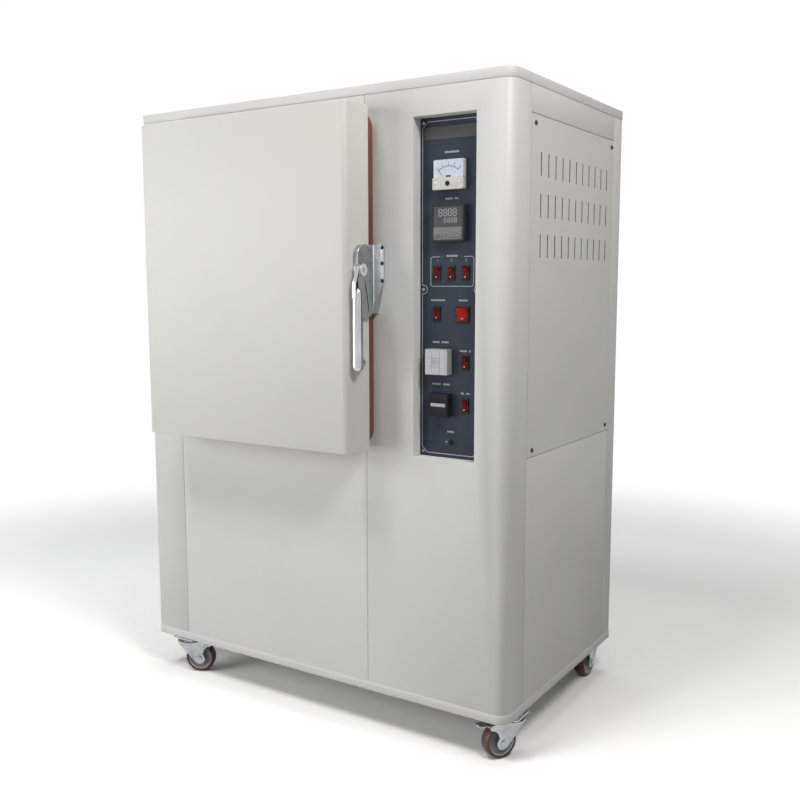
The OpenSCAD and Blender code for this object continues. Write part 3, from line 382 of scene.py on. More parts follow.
def cross_head_screws():
    """Geometry Nodes: a pan head with a cross recess on every point of the mesh."""
    group = bpy.data.node_groups.new("cross_head_screws", "GeometryNodeTree")
    start, end = group_sockets(
        group,
        [("Places", "NodeSocketGeometry", None), ("Head Radius", "NodeSocketFloat", 0.004),
         ("Head Height", "NodeSocketFloat", 0.0016), ("Facing", "NodeSocketVector", None),
         ("Seed", "NodeSocketInt", 3), ("Finish", "NodeSocketMaterial", None)],
        [("Screws", "NodeSocketGeometry")])
    add, link = group.nodes.new, group.links.new
    head = add("GeometryNodeMeshCone")
    head.inputs["Vertices"].default_value = 24
    shoulder = add("ShaderNodeMath")
    shoulder.operation = "MULTIPLY"
    shoulder.inputs[1].default_value = 0.74
    link(start.outputs["Head Radius"], shoulder.inputs[0])
    link(shoulder.outputs[0], head.inputs["Radius Top"])
    link(start.outputs["Head Radius"], head.inputs["Radius Bottom"])
    link(start.outputs["Head Height"], head.inputs["Depth"])
    long_side = add("ShaderNodeMath")
    long_side.operation = "MULTIPLY"
    long_side.inputs[1].default_value = 1.15
    short_side = add("ShaderNodeMath")
    short_side.operation = "MULTIPLY"
    short_side.inputs[1].default_value = 0.26
    link(start.outputs["Head Radius"], long_side.inputs[0])
    link(start.outputs["Head Radius"], short_side.inputs[0])
    lift = add("ShaderNodeCombineXYZ")
    link(start.outputs["Head Height"], lift.inputs["Z"])
    recesses = []
    for across in ("X", "Y"):
        size = add("ShaderNodeCombineXYZ")
        link(long_side.outputs[0], size.inputs[across])
        link(short_side.outputs[0], size.inputs["Y" if across == "X" else "X"])
        link(start.outputs["Head Height"], size.inputs["Z"])
        bar = add("GeometryNodeMeshCube")
        link(size.outputs[0], bar.inputs["Size"])
        raised = add("GeometryNodeTransform")
        link(bar.outputs["Mesh"], raised.inputs["Geometry"])
        link(lift.outputs[0], raised.inputs["Translation"])
        recesses.append(raised)
    cut = add("GeometryNodeMeshBoolean")
    cut.operation = "DIFFERENCE"
    link(head.outputs["Mesh"], cut.inputs["Mesh 1"])
    for raised in recesses:
        link(raised.outputs["Geometry"], cut.inputs["Mesh 2"])
    facing = add("FunctionNodeEulerToRotation")
    link(start.outputs["Facing"], facing.inputs["Euler"])
    placed = add("GeometryNodeInstanceOnPoints")
    link(start.outputs["Places"], placed.inputs["Points"])
    link(cut.outputs["Mesh"], placed.inputs["Instance"])
    link(facing.outputs["Rotation"], placed.inputs["Rotation"])
    chance = add("FunctionNodeRandomValue")
    chance.data_type = "FLOAT"
    chance.inputs[3].default_value = math.pi / 2
    link(start.outputs["Seed"], chance.inputs["Seed"])
    spin = add("ShaderNodeCombineXYZ")
    link(chance.outputs[1], spin.inputs["Z"])
    spin_turn = add("FunctionNodeEulerToRotation")
    link(spin.outputs[0], spin_turn.inputs["Euler"])
    turned = add("GeometryNodeRotateInstances")
    link(placed.outputs["Instances"], turned.inputs["Instances"])
    link(spin_turn.outputs["Rotation"], turned.inputs["Rotation"])
    whole = add("GeometryNodeRealizeInstances")
    link(turned.outputs["Instances"], whole.inputs["Geometry"])
    coated = add("GeometryNodeSetMaterial")
    link(whole.outputs["Geometry"], coated.inputs["Geometry"])
    link(start.outputs["Finish"], coated.inputs["Material"])
    link(coated.outputs["Geometry"], end.inputs["Screws"])
    return group


screw_tree = cross_head_screws()


def repeated(name, tree, places, values, body):
    """One plain mesh of what the tree puts on the places, riding on a body."""
    mesh = bpy.data.meshes.new(name)
    mesh.from_pydata([tuple(place) for place in places], [], [])
    piece = bpy.data.objects.new(name, mesh)
    bpy.context.scene.collection.objects.link(piece)
    pattern = piece.modifiers.new("pattern", "NODES")
    pattern.node_group = tree
    for socket in tree.interface.items_tree:
        if socket.item_type == "SOCKET" and socket.in_out == "INPUT" and socket.name in values:
            pattern[socket.identifier] = values[socket.name]
    settled(piece)
    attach(piece, body)


towards_front = (math.pi / 2, 0.0, 0.0)
towards_right = (0.0, math.pi / 2, 0.0)
cover_face_x = (cover_high.x - corner.x) * 1000
screw_dark = finish_material(
    "blackened_screw", (0.030, 0.030, 0.032), (0.055, 0.055, 0.058), (0.40, 0.55),
    600.0, (0.06, 0.0002), cloud_scale=120.0, specular=0.25)
cover_screws = ((98, 1180), (508, 1181), (102, 543), (508, 543))
repeated("vent_cover_screws", screw_tree, [spot(cover_face_x, y, z) for y, z in cover_screws],
         {"Head Radius": 0.0052, "Head Height": 0.0022, "Facing": towards_right,
          "Finish": screw_dark}, "cabinet")

# Chamber liner and turntable: brushed stainless sheet. The liner is folded and welded
# and hangs behind the mouth, and the turntable sits on its shaft in a floor bearing.
stainless = finish_material(
    "brushed_stainless", (0.50, 0.51, 0.52), (0.60, 0.61, 0.62), (0.26, 0.42),
    700.0, (0.12, 0.0002), metallic=1.0, stretch=(0.03, 0.03, 1.0))
dressed("chamber_liner", [stainless], 0.0008)
dressed("specimen_turntable", [stainless], 0.0004)

# Reflector lamp: a frosted glass bulb that screws into a white ceramic socket,
# which hangs from the middle of the chamber's ceiling.
frosted_glass = finish_material(
    "frosted_lamp_glass", (0.70, 0.72, 0.76), (0.82, 0.84, 0.88), (0.20, 0.30),
    500.0, (0.05, 0.0002), coat=0.3)
white_ceramic = finish_material(
    "white_ceramic", (0.78, 0.77, 0.74), (0.86, 0.85, 0.82), (0.16, 0.26),
    260.0, (0.05, 0.0003), cloud_scale=30.0)
socket_h = 0.056
socket_low_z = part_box("uv_lamp")[1].z - socket_h
dressed("uv_lamp", [frosted_glass, white_ceramic], 0.0005,
        choose=lambda face: 1 if face.center.z > socket_low_z else 0)

# Door: an insulated pan of powder-coated sheet with folded, ground corners, lined with a
# stainless plug panel that enters the mouth. It hangs on the left edge.
# The door's coat is the cabinet's paint made a little lighter and yellower, as painted light for the brighter door
# front.
door_coat = finish_material(
    "door_powder_coat_painted_light", (0.735, 0.733, 0.700), (0.790, 0.788, 0.755), (0.34, 0.52),
    900.0, (0.16, 0.0006), cloud_scale=1.6)
dressed("door_shell", [door_coat], 0.0014, 3)
dressed("door_inner_panel", [stainless], 0.001)

# Door seal: a moulded ring of red-brown silicone, bonded to the door's back
# and pressed against the front panel round the mouth.
silicone = finish_material(
    "red_brown_silicone", (0.150, 0.058, 0.038), (0.210, 0.084, 0.054), (0.46, 0.62),
    600.0, (0.14, 0.0003), cloud_scale=9.0, specular=0.35)
dressed("door_gasket", [silicone], 0.003, 3)

# Hinges: two lift-off hinges of nickel-plated steel, with upright pins on the cabinet's
# half and bored knuckles on the door's half.
plated = finish_material(
    "nickel_plate", (0.52, 0.53, 0.54), (0.66, 0.67, 0.68), (0.20, 0.32),
    900.0, (0.06, 0.0002), metallic=1.0, cloud_scale=24.0)
dressed("hinge_brackets", [plated], 0.0006)
dressed("hinge_leaves", [plated], 0.0006)

# Latch base and keeper: zinc castings in a satin chrome plate. The base is screwed to the
# door's edge, and the keeper to the cabinet's front beside it.
cast_chrome = finish_material(
    "satin_chrome_casting", (0.36, 0.38, 0.39), (0.52, 0.54, 0.55), (0.24, 0.38),
    420.0, (0.14, 0.0003), metallic=1.0, cloud_scale=26.0)
dressed("latch_base", [cast_chrome], 0.0025, 3)
dressed("latch_keeper", [cast_chrome], 0.0012, 3)
door_right = (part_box("door_shell")[1].x - corner.x) * 1000
keeper_screw_x, keeper_screw_y, keeper_screw_rows = door_right + 21.5, -5.8, (947, 915, 880)
repeated("latch_keeper_screws", screw_tree,
         [spot(keeper_screw_x, keeper_screw_y, z) for z in keeper_screw_rows],
         {"Head Radius": 0.0042, "Head Height": 0.0020, "Facing": towards_front,
          "Finish": screw_dark}, "cabinet")

# Pull lever: a polished chrome casting that turns on the lock's barrel. Its broad neck
# bends out into a round grip with a curled toe.
polished_chrome = finish_material(
    "polished_chrome", (0.44, 0.45, 0.47), (0.58, 0.59, 0.60), (0.06, 0.14),
    260.0, (0.05, 0.0004), metallic=1.0, cloud_scale=14.0)
dressed("latch_lever", [polished_chrome], 0.0018, 3)

# Key lock: a satin nickel barrel in the lever's hub, with a diamond keyhole
# sunk in its face. The keyhole's shallow floor is painted black, as painted shade for a deep hole.
lock_nickel = finish_material(
    "satin_nickel_lock", (0.80, 0.80, 0.78), (0.88, 0.88, 0.86), (0.24, 0.36),
    900.0, (0.05, 0.0002), metallic=0.35)
keyhole_painted_shade = finish_material(
    "keyhole_painted_shade", (0.010, 0.010, 0.011), (0.020, 0.020, 0.022), (0.50, 0.70),
    900.0, (0.05, 0.0002))
lock_low, lock_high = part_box("key_lock")
lock_mid = (lock_low + lock_high) / 2
keyhole_top, keyhole_floor, keyhole_reach = 0.0003, 0.0012, 0.0047


# Faces on the keyhole's sunk floor get the black painted shade.
def keyhole_or_lock(face):
    sunk = lock_high.x - keyhole_floor < face.center.x < lock_high.x - keyhole_top
    near = math.hypot(face.center.y - lock_mid.y, face.center.z - lock_mid.z) < keyhole_reach
    return 1 if sunk and near else 0


dressed("key_lock", [lock_nickel, keyhole_painted_shade], 0.0002, choose=keyhole_or_lock)

# Control plate: a steel plate with a satin film in dark blue-grey, sunk in the column.
# Its border line and legends are printed in pale grey, and six screws hold it.
panel_film = finish_material(
    "blue_grey_film", (0.032, 0.041, 0.060), (0.046, 0.056, 0.079), (0.42, 0.56),
    1200.0, (0.10, 0.0002), cloud_scale=6.0, specular=0.16)
dressed("control_plate", [panel_film], 0.0)
plate_low, plate_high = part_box("control_plate")
plate_mid_x = ((plate_low.x + plate_high.x) / 2 - corner.x) * 1000
plate_face_y = (plate_low.y - corner.y) * 1000
print_grey = finish_material(
    "pale_grey_print", (0.40, 0.42, 0.45), (0.48, 0.50, 0.53), (0.45, 0.60),
    1500.0, (0.05, 0.0001))


def ribbon(form, path, width, face_y, thickness=0.25, closed=False):
    """A flat printed line of even width along a path in the plate's plane."""
    points = [Vector(point) for point in path]
    count = len(points)
    rings = []
    for index, point in enumerate(points):
        before = points[index - 1] if index > 0 or closed else None
        after = points[(index + 1) % count] if index < count - 1 or closed else None
        lines = []
        if before is not None:
            lines.append((point - before).normalized())
        if after is not None:
            lines.append((after - point).normalized())
        along = sum(lines, Vector((0.0, 0.0))).normalized()
        across = Vector((-along.y, along.x))
        reach = width / 2 / max(0.4, along.dot(lines[0]))
        ring = []
        for side, depth in ((1, 0), (-1, 0), (-1, 1), (1, 1)):
            at = point + across * reach * side
            ring.append(form.verts.new(spot(at.x, face_y - thickness + 1.3 * thickness * depth,
                                            at.y)))
        rings.append(ring)
    pairs = list(zip(rings, rings[1:] + rings[:1])) if closed else list(zip(rings, rings[1:]))
    for ring, following in pairs:
        for side in range(4):
            form.faces.new((ring[side], ring[(side + 1) % 4],
                            following[(side + 1) % 4], following[side]))
    if not closed:
        form.faces.new(rings[0])
        form.faces.new(reversed(rings[-1]))


def cut_plate(form, outline, face_y, depth):
    """A thin plate of the given outline whose front lies at face_y."""
    front = [form.verts.new(spot(x, face_y - 0.25, z)) for x, z in outline]
    back = [form.verts.new(spot(x, face_y - 0.25 + depth, z)) for x, z in outline]
    form.faces.new(front)
    form.faces.new(reversed(back))
    for index in range(len(front)):
        after = (index + 1) % len(front)
        form.faces.new((front[index], back[index], back[after], front[after]))


def arc(middle_x, middle_z, radius, first, last, steps):
    """Points on an arc, its angles in degrees from the plate's right-hand direction."""
    return [(middle_x + radius * math.cos(math.radians(first + (last - first) * i / steps)),
             middle_z + radius * math.sin(math.radians(first + (last - first) * i / steps)))
            for i in range(steps + 1)]


border_x, border_low, border_high = 64.7, 532.0, 1189.0
screw_rows = (1187.0, 862.5, 533.6)
side_screw_x = 62.0
border = []
for side in (1, -1):
    edge_x = plate_mid_x + side * border_x
    run = [(edge_x - side * 12, border_high), (edge_x, border_high - 12)]
    around = arc(plate_mid_x + side * side_screw_x, screw_rows[1], 8.6,
                 72 if side == 1 else 108, 288 if side == 1 else -108, 14)
    run += [(edge_x, around[0][1])] + around[1:-1] + [(edge_x, around[-1][1])]
    run += [(edge_x, border_low + 12), (edge_x - side * 12, border_low)]
    border += run if side == 1 else run[::-1]
film_print = bmesh.new()
ribbon(film_print, border, 1.5, plate_face_y, closed=True)
frame_low_z, frame_high_z, frame_half, frame_r = 869.0, 927.0, 48.5, 5.0
left_x, right_x = plate_mid_x + 3.5 - frame_half, plate_mid_x + 3.5 + frame_half
ribbon(film_print,
       [(left_x + 21, frame_high_z)] + arc(left_x + frame_r, frame_high_z - frame_r, frame_r,
                                           90, 180, 6)
       + arc(left_x + frame_r, frame_low_z + frame_r, frame_r, 180, 270, 6)
       + arc(right_x - frame_r, frame_low_z + frame_r, frame_r, 270, 360, 6)
       + arc(right_x - frame_r, frame_high_z - frame_r, frame_r, 0, 90, 6)
       + [(right_x - 21, frame_high_z)], 1.3, plate_face_y)

# Numbers 1, 2 and 3 stand over the heater switches, in plain seven-stroke figures.
strokes_of = {"0": "abcdef", "1": "bc", "2": "abged", "3": "abgcd", "4": "fgbc", "5": "afgcd",
              "6": "afgedc", "7": "abc", "8": "abcdefg", "9": "abcdfg"}


def figure(form, digit, x, z, width, height, stroke, face_y):
    """One seven-stroke figure with its lower left corner at x, z."""
    ends = {"a": ((0, 1), (1, 1)), "b": ((1, 1), (1, 0.5)), "c": ((1, 0.5), (1, 0)),
            "d": ((0, 0), (1, 0)), "e": ((0, 0.5), (0, 0)), "f": ((0, 1), (0, 0.5)),
            "g": ((0, 0.5), (1, 0.5))}
    for name in strokes_of[digit]:
        (x0, z0), (x1, z1) = ends[name]
        start = Vector((x + x0 * width, z + z0 * height))
        stop = Vector((x + x1 * width, z + z1 * height))
        along = (stop - start).normalized()
        across = Vector((-along.y, along.x)) * stroke / 2
        tip, neck = along * stroke * 0.12, along * stroke * 0.62
        cut_plate(form, [start + tip, start + neck - across, stop - neck - across,
                         stop - tip, stop - neck + across, start + neck + across], face_y, 0.35)


rocker_mid = {}
for rocker_name in ("heater_rocker_1", "heater_rocker_2", "heater_rocker_3", "rotation_rocker",
                    "power_rocker", "timer_rocker", "meter_rocker"):
    low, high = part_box(rocker_name)
    rocker_mid[rocker_name] = ((low + high) / 2 - corner) * 1000
for digit in "123":
    middle = rocker_mid["heater_rocker_" + digit].x
    figure(film_print, digit, middle - 1.3, 917.5, 2.6, 4.8, 0.8, plate_face_y)
formed("panel_print", film_print, [print_grey], "cabinet", smooth=False)


# Legends of the panel, without words: each is a row of small plain blocks.
def blocks_on_points():
    """Geometry Nodes: a small flat block on every point of the mesh."""
    group = bpy.data.node_groups.new("blocks_on_points", "GeometryNodeTree")
    start, end = group_sockets(
        group,
        [("Places", "NodeSocketGeometry", None), ("Width", "NodeSocketFloat", 0.002),
         ("Height", "NodeSocketFloat", 0.003), ("Thickness", "NodeSocketFloat", 0.0003),
         ("Finish", "NodeSocketMaterial", None)],
        [("Blocks", "NodeSocketGeometry")])
    add, link = group.nodes.new, group.links.new
    size = add("ShaderNodeCombineXYZ")
    link(start.outputs["Width"], size.inputs["X"])
    link(start.outputs["Thickness"], size.inputs["Y"])
    link(start.outputs["Height"], size.inputs["Z"])
    block = add("GeometryNodeMeshCube")
    link(size.outputs[0], block.inputs["Size"])
    placed = add("GeometryNodeInstanceOnPoints")
    link(start.outputs["Places"], placed.inputs["Points"])
    link(block.outputs["Mesh"], placed.inputs["Instance"])
    whole = add("GeometryNodeRealizeInstances")
    link(placed.outputs["Instances"], whole.inputs["Geometry"])
    coated = add("GeometryNodeSetMaterial")
    link(whole.outputs["Geometry"], coated.inputs["Geometry"])
    link(start.outputs["Finish"], coated.inputs["Material"])
    link(coated.outputs["Geometry"], end.inputs["Blocks"])
    return group


screw_nickel = finish_material(
    "screw_nickel", (0.42, 0.43, 0.44), (0.62, 0.63, 0.64), (0.22, 0.36),
    600.0, (0.06, 0.0002), metallic=1.0, cloud_scale=120.0)
block_tree = blocks_on_points()
legend_pitch = 4.1
legend_gap_after = {"ammeter": (), "controller": (4,), "timer": (4,), "hour": (5,),
                    "timer_switch": (4,), "hour_switch": (2,)}
legends = [
    ("ammeter", plate_mid_x + 2, 1128.5, 8), ("controller", plate_mid_x + 2, 1039.4, 7),
    ("heater", plate_mid_x + 3.5, 928.6, 6), ("rotation", plate_mid_x - 28, 841.5, 8),
    ("power", plate_mid_x + 29, 841.5, 5), ("timer", plate_mid_x - 22, 758.0, 9),
    ("timer_switch", plate_mid_x + 34.5, 742.0, 6), ("hour", plate_mid_x - 21, 673.6, 10),
    ("hour_switch", plate_mid_x + 34.5, 657.6, 5), ("fuse", plate_mid_x + 2, 578.4, 4)]
legend_points = []
for name, middle, z, letters in legends:
    skipped = legend_gap_after.get(name, ())
    for index in range(letters):
        if index not in skipped:
            legend_points.append(spot(middle + (index - (letters - 1) / 2) * legend_pitch,
                                      plate_face_y - 0.1, z))
repeated("panel_legends", block_tree, legend_points,
         {"Width": 0.0030, "Height": 0.0036, "Thickness": 0.0003, "Finish": print_grey},
         "cabinet")
blank_band = finish_material(
    "grey_blank_band", (0.105, 0.105, 0.107), (0.130, 0.130, 0.132), (0.42, 0.54),
    1200.0, (0.05, 0.0002), specular=0.16)
repeated("panel_blank_band", block_tree, [spot(plate_mid_x + 1, plate_face_y - 0.1, 1166.5)],
         {"Width": 0.122, "Height": 0.0235, "Thickness": 0.0003, "Finish": blank_band},
         "cabinet")
repeated("control_plate_screws", screw_tree,
         [spot(plate_mid_x + side * side_screw_x, plate_face_y, z)
          for side in (-1, 1) for z in screw_rows],
         {"Head Radius": 0.0036, "Head Height": 0.0018, "Facing": towards_front,
          "Finish": screw_nickel}, "cabinet")

# Ammeter: a moulded cream meter, its dial card behind a clear front, with a proud lower
# block that carries the black zero screw. It clips into the plate's cut-out.
cream_plastic = finish_material(
    "cream_meter_plastic", (0.58, 0.575, 0.53), (0.66, 0.655, 0.61), (0.26, 0.38),
    800.0, (0.06, 0.0002), cloud_scale=40.0)
black_plastic = finish_material(
    "black_plastic", (0.010, 0.010, 0.011), (0.017, 0.017, 0.019), (0.40, 0.54),
    1000.0, (0.12, 0.0002), cloud_scale=30.0, specular=0.12)
dial_card = finish_material(
    "pale_blue_dial_card", (0.56, 0.63, 0.76), (0.63, 0.69, 0.80), (0.24, 0.30),
    1200.0, (0.02, 0.0001), cloud_scale=25.0, coat=0.8)
dial_ink = finish_material(
    "black_dial_ink", (0.014, 0.015, 0.020), (0.026, 0.028, 0.034), (0.40, 0.50),
    1200.0, (0.02, 0.0001), coat=0.5)
knob_y = (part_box("ammeter")[0].y - corner.y) * 1000
knob_out, knob_near, window_out, clear_front = 1.5, 4.8, 6.0, 4.5
block_face_y = knob_y + knob_out
meter_mid_z, meter_half_w, meter_half_h = 1085.0, 34.0, 29.0
meter_low_z = meter_mid_z - meter_half_h
knob_z = meter_low_z + 11.5


def cream_or_knob(face):
    at = (face.center - corner) * 1000
    near = math.hypot(at.x - plate_mid_x, at.z - knob_z) < knob_near
    return 1 if near and at.y < block_face_y - 0.05 else 0


dressed("ammeter", [cream_plastic, black_plastic], 0.0006, choose=cream_or_knob)


def slab(form, x0, x1, z0, z1, face_y, depth, r=1.5):
    """A thin plate with round corners whose front lies at face_y."""
    outline = []
    for mid_x, mid_z, first in ((x1 - r, z1 - r, 0), (x0 + r, z1 - r, 90),
                                (x0 + r, z0 + r, 180), (x1 - r, z0 + r, 270)):
        outline += arc(mid_x, mid_z, r, first, first + 90, 4)
    cut_plate(form, outline, face_y + 0.25, depth)


dial_low_z, dial_high_z = meter_low_z + 23.4, meter_low_z + 57.0
dial_y = plate_face_y - window_out - clear_front
card = bmesh.new()
slab(card, plate_mid_x - meter_half_w + 0.8, plate_mid_x + meter_half_w - 0.8, dial_low_z,
     dial_high_z, dial_y, 4.6, 2.0)
formed("ammeter_dial_card", card, [dial_card], "cabinet", smooth=False)
scale_r, sweep_half = 33.0, 41.0
dial_marks = bmesh.new()
ribbon(dial_marks, arc(plate_mid_x, knob_z, scale_r, 90 + sweep_half, 90 - sweep_half, 28),
       0.7, dial_y)
for index in range(21):
    angle = 90 + sweep_half - 2 * sweep_half * index / 20
    main = index % 5 == 0
    inner, outer = scale_r, scale_r + (3.6 if main else 2.0)
    ribbon(dial_marks, [arc(plate_mid_x, knob_z, inner, angle, angle, 1)[0],
                        arc(plate_mid_x, knob_z, outer, angle, angle, 1)[0]],
           0.7 if main else 0.35, dial_y)
    if main:
        x, z = arc(plate_mid_x, knob_z, scale_r + 6.6, angle, angle, 1)[0]
        figure(dial_marks, str(index // 5 * 2), x - 0.9, z - 1.5, 1.8, 3.0, 0.45, dial_y)
needle_tip = arc(plate_mid_x, knob_z, scale_r + 1.5, 90 + sweep_half, 90, 1)[0]
needle_root = arc(plate_mid_x, knob_z, 17.0, 90 + sweep_half, 90, 1)[0]
ribbon(dial_marks, [needle_root, needle_tip], 0.5, dial_y - 0.3)
slab(dial_marks, plate_mid_x - 5.5, plate_mid_x + 5.5, dial_low_z + 0.2, dial_low_z + 3.4,
     dial_y - 0.9, 1.0, 1.4)
formed("ammeter_dial_marks", dial_marks, [dial_ink], "cabinet", smooth=False)
repeated("ammeter_screws", screw_tree,
         [spot(plate_mid_x + side * 26, block_face_y, knob_z + 2) for side in (-1, 1)],
         {"Head Radius": 0.0022, "Head Height": 0.0010, "Facing": towards_front,
          "Finish": screw_nickel}, "cabinet")

# Temperature controller: a charcoal case with a sunk face. It has two rows of unlit
# figures behind a smoked window, and four soft keys on a grey keypad.
charcoal_plastic = finish_material(
    "charcoal_plastic", (0.036, 0.038, 0.041), (0.052, 0.054, 0.058), (0.42, 0.56),
    1000.0, (0.12, 0.0002), cloud_scale=30.0, specular=0.12)
smoked_window = finish_material(
    "smoked_window", (0.042, 0.045, 0.049), (0.056, 0.059, 0.064), (0.24, 0.32),
    1000.0, (0.03, 0.0001), cloud_scale=30.0, specular=0.25)
keypad_grey = finish_material(
    "keypad_grey", (0.20, 0.20, 0.195), (0.25, 0.25, 0.242), (0.42, 0.54),
    1000.0, (0.06, 0.0002), cloud_scale=30.0, specular=0.25)
key_rubber = finish_material(
    "key_rubber", (0.115, 0.118, 0.120), (0.150, 0.153, 0.155), (0.44, 0.56),
    900.0, (0.08, 0.0002), cloud_scale=60.0)
figure_grey = finish_material(
    "unlit_figure_grey", (0.24, 0.24, 0.24), (0.30, 0.30, 0.30), (0.36, 0.46),
    1200.0, (0.03, 0.0001))
case_mid_z, case_half, case_sunk = 992.0, 36.0, 1.5
case_left = plate_mid_x - case_half
case_low_z = case_mid_z - case_half
rim_face_y = (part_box("temperature_controller")[0].y - corner.y) * 1000
sunk_face_y = rim_face_y + case_sunk


def case_or_key(face):
    at = (face.center - corner) * 1000
    return 1 if at.y < sunk_face_y - 0.05 and 5.0 < at.z - case_low_z < 17.0 \
        and 5.5 < at.x - case_left < 66.0 else 0


dressed("temperature_controller", [charcoal_plastic, key_rubber], 0.0004, choose=case_or_key)
window_sheet = bmesh.new()
slab(window_sheet, case_left + 4.2, case_left + 67.8, case_low_z + 28.6, case_low_z + 67.8,
     sunk_face_y - 0.25, 0.4, 1.0)
formed("controller_window", window_sheet, [smoked_window], "cabinet", smooth=False)
keypad = bmesh.new()
slab(keypad, case_left + 3.8, case_left + 68.2, case_low_z + 3.8, case_low_z + 26.4,
     sunk_face_y - 0.3, 0.5, 0.8)
formed("controller_keypad", keypad, [keypad_grey], "cabinet", smooth=False)
readout = bmesh.new()
ribbon(readout, [(case_left + 4, case_low_z + 27.4), (case_left + 68, case_low_z + 27.4)],
       1.1, sunk_face_y - 0.1)
for index in range(4):
    figure(readout, "8", case_left + 16.2 + index * 10.7, case_low_z + 49.5, 7.2, 12.8, 2.1,
           sunk_face_y - 0.25)
    figure(readout, "8", case_left + 28.4 + index * 7.7, case_low_z + 36.6, 4.8, 8.6, 1.5,
           sunk_face_y - 0.25)
for index in range(1, 4):
    middle = case_left + 12.5 + index * 15.6
    ribbon(readout, [(middle - 3, case_low_z + 10.2), (middle - 0.5, case_low_z + 12.0),
                     (middle + 3, case_low_z + 10.8)], 1.3, rim_face_y + 0.3)
formed("controller_readout", readout, [figure_grey], "cabinet", smooth=False)

# Test timer: a pale moulded case that stands well out of the plate, with a white
# card of faint ruled fields over its front.
pale_plastic = finish_material(
    "pale_grey_plastic", (0.30, 0.30, 0.29), (0.36, 0.36, 0.35), (0.34, 0.46),
    800.0, (0.08, 0.0002), cloud_scale=30.0)
timer_card = finish_material(
    "white_timer_card", (0.50, 0.50, 0.53), (0.57, 0.57, 0.60), (0.30, 0.40),
    1200.0, (0.02, 0.0001), cloud_scale=30.0, coat=0.4)
faint_rule = finish_material(
    "faint_grey_rule", (0.24, 0.25, 0.27), (0.30, 0.31, 0.33), (0.40, 0.50),
    1200.0, (0.02, 0.0001))
dressed("test_timer", [pale_plastic], 0.0006)
timer_mid_x, timer_mid_z, card_half = plate_mid_x - 22.0, 719.0, 24.6
timer_face_y = (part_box("test_timer")[0].y - corner.y) * 1000 - 0.5
card = bmesh.new()
slab(card, timer_mid_x - card_half, timer_mid_x + card_half, timer_mid_z - card_half,
     timer_mid_z + card_half, timer_face_y, 0.8, 1.6)
formed("timer_card", card, [timer_card], "cabinet", smooth=False)
rules = bmesh.new()
for x in (-11.0, 8.5, 20.5):
    ribbon(rules, [(timer_mid_x + x, timer_mid_z - 22.5), (timer_mid_x + x, timer_mid_z + 22.5)],
           0.7, timer_face_y)
for z in (-9.0, 8.0):
    ribbon(rules, [(timer_mid_x - 22.0, timer_mid_z + z), (timer_mid_x - 12.0, timer_mid_z + z)],
           0.6, timer_face_y)
    ribbon(rules, [(timer_mid_x - 10.0, timer_mid_z + z), (timer_mid_x + 7.5, timer_mid_z + z)],
           0.8, timer_face_y)
for index in range(3):
    figure(rules, "0", timer_mid_x - 8.6 + index * 5.6, timer_mid_z - 4.2, 3.2, 8.0, 0.7,
           timer_face_y)
formed("timer_rules", rules, [faint_rule], "cabinet", smooth=False)

# Hour meter: a black moulded case with a white counter strip in its window
# and five plain figures on it.
dressed("hour_meter", [black_plastic], 0.0006)
hour_mid_x, hour_mid_z, strip_half_w, strip_half_h = plate_mid_x - 18.0, 633.0, 16.8, 3.3
strip_y = (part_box("hour_meter")[0].y - corner.y) * 1000 + 0.9
strip = bmesh.new()
slab(strip, hour_mid_x - strip_half_w, hour_mid_x + strip_half_w, hour_mid_z - strip_half_h,
     hour_mid_z + strip_half_h, strip_y, 0.5, 0.5)
formed("hour_counter_strip", strip, [timer_card], "cabinet", smooth=False)
counter = bmesh.new()
for index in range(5):
    figure(counter, "0", hour_mid_x - 14.0 + index * 6.4, hour_mid_z - 2.1, 2.4, 4.2, 0.45,
           strip_y)
formed("hour_counter_figures", counter, [faint_rule], "cabinet", smooth=False)

# Fuse holder: a black bayonet cap with a slot, screwed through the plate.
fuse_black = finish_material(
    "polished_fuse_black", (0.008, 0.008, 0.009), (0.014, 0.014, 0.015), (0.14, 0.22),
    900.0, (0.08, 0.0002), cloud_scale=60.0, specular=0.5)
dressed("fuse_holder", [fuse_black], 0.0004)

# Rocker switches: black snap-in housings with translucent red rockers. Each rocker rests
# with its upper end out, and a pale patch on its lower end is a painted highlight.
rim_black = finish_material(
    "switch_rim_black", (0.010, 0.010, 0.011), (0.017, 0.017, 0.018), (0.32, 0.46),
    1000.0, (0.10, 0.0002), cloud_scale=60.0, specular=0.2)
dark_red = finish_material(
    "dark_red_rocker", (0.10, 0.003, 0.003), (0.19, 0.005, 0.005), (0.34, 0.46),
    500.0, (0.05, 0.0002), cloud_scale=90.0, specular=0.10)
bright_red = finish_material(
    "bright_red_rocker", (0.34, 0.006, 0.004), (0.48, 0.012, 0.008), (0.34, 0.46),
    500.0, (0.05, 0.0002), cloud_scale=60.0, specular=0.12)
rocker_highlight = finish_material(
    "painted_highlight_rocker_patch", (0.44, 0.26, 0.25), (0.52, 0.34, 0.32), (0.30, 0.40),
    900.0, (0.03, 0.0001), cloud_scale=90.0)
dressed("switch_bezels", [rim_black], 0.0003)
rocker_tilt = math.radians(7.0)
rocker_front, rocker_dish, mark_drop, mark_lean = 5.0, 2.5, 0.66, 0.24
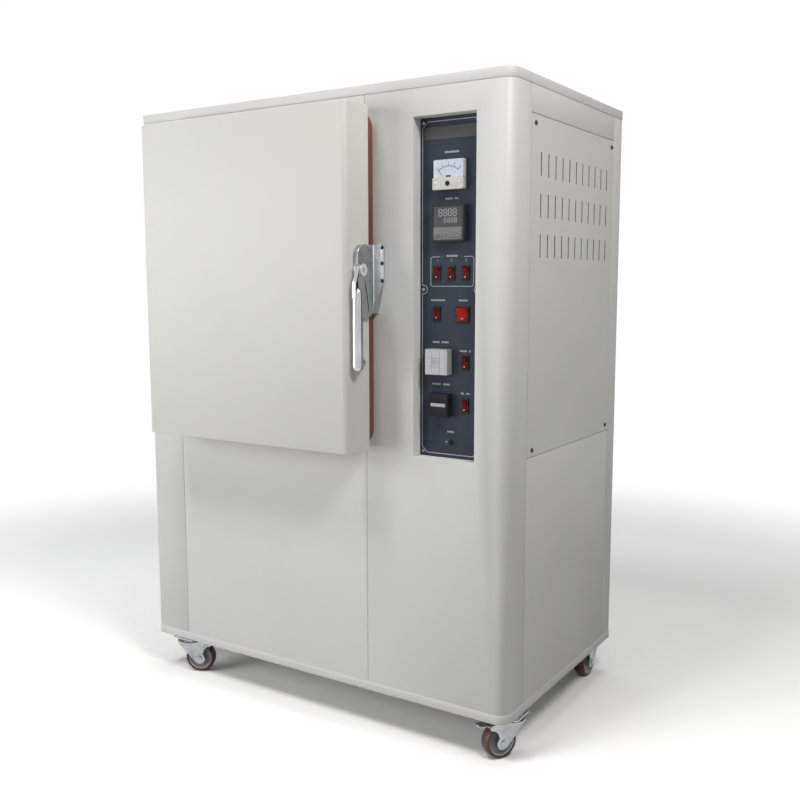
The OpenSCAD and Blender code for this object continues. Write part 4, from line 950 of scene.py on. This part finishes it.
for rocker_name, middle in rocker_mid.items():
    wide = rocker_name == "power_rocker"
    dressed(rocker_name, [bright_red if wide else dark_red], 0.0004)
    axis = Vector(joint_of[rocker_name.replace("rocker", "switch")]["pos_m"])
    # The pale patch on the rocker's lower end is a painted highlight.
    mark = bmesh.new()
    half_w, half_h, reach = (2.6, 0.8, 12.0) if wide else (1.7, 1.2, 10.5)
    face_y = -rocker_front - rocker_dish * mark_drop
    for dx in (-half_w, half_w):
        for dz in (-half_h, half_h):
            for dy in (-0.25, 0.5):
                local = Vector((dx, face_y + dy + dz * mark_lean, dz - reach * mark_drop)) * 0.001
                local.rotate(Euler((rocker_tilt, 0.0, 0.0)))
                mark.verts.new(axis + local)
    bmesh.ops.convex_hull(mark, input=mark.verts)
    formed(rocker_name + "_mark", mark, [rocker_highlight], body_of[rocker_name],
           smooth=False)

# Casters: zinc-plated pressings bolted under the tray, and a maroon polyurethane tread
# moulded on a grey-green nylon hub that turns on a plain axle bolt.
zinc_plate = finish_material(
    "zinc_plate", (0.30, 0.32, 0.335), (0.46, 0.48, 0.495), (0.22, 0.40),
    420.0, (0.10, 0.0002), metallic=1.0, cloud_scale=40.0)
maroon_tread = finish_material(
    "maroon_tread", (0.062, 0.017, 0.014), (0.105, 0.030, 0.023), (0.30, 0.44),
    700.0, (0.10, 0.0003), cloud_scale=20.0)
grey_hub = finish_material(
    "grey_green_hub", (0.17, 0.20, 0.185), (0.25, 0.29, 0.265), (0.34, 0.48),
    700.0, (0.08, 0.0003), cloud_scale=20.0)
pale_ring = finish_material(
    "pale_hub_ring", (0.44, 0.46, 0.45), (0.54, 0.56, 0.55), (0.30, 0.42),
    700.0, (0.06, 0.0002), cloud_scale=30.0)
ring_from, tread_from = 0.0254, 0.0283
dressed("caster_plates", [zinc_plate], 0.0004)
for caster in ("front_left", "front_right", "rear_left", "rear_right"):
    dressed(caster + "_fork", [zinc_plate], 0.0005)
    roll = joint_of[caster + "_roll"]
    axle_at, axle_along = Vector(roll["pos_m"]), Vector(roll["axis"])

    def tread_ring_or_hub(face):
        offset = face.center - axle_at
        radius = (offset - axle_along * offset.dot(axle_along)).length
        if radius > tread_from:
            return 0
        return 2 if ring_from < radius < tread_from else 1

    dressed(caster + "_wheel", [maroon_tread, grey_hub, pale_ring], 0.0004,
            choose=tread_ring_or_hub)

# Brake pedal: a folded zinc-plated tongue on a cross pin behind the front right wheel.
dressed("front_right_brake_pedal", [zinc_plate], 0.0003)
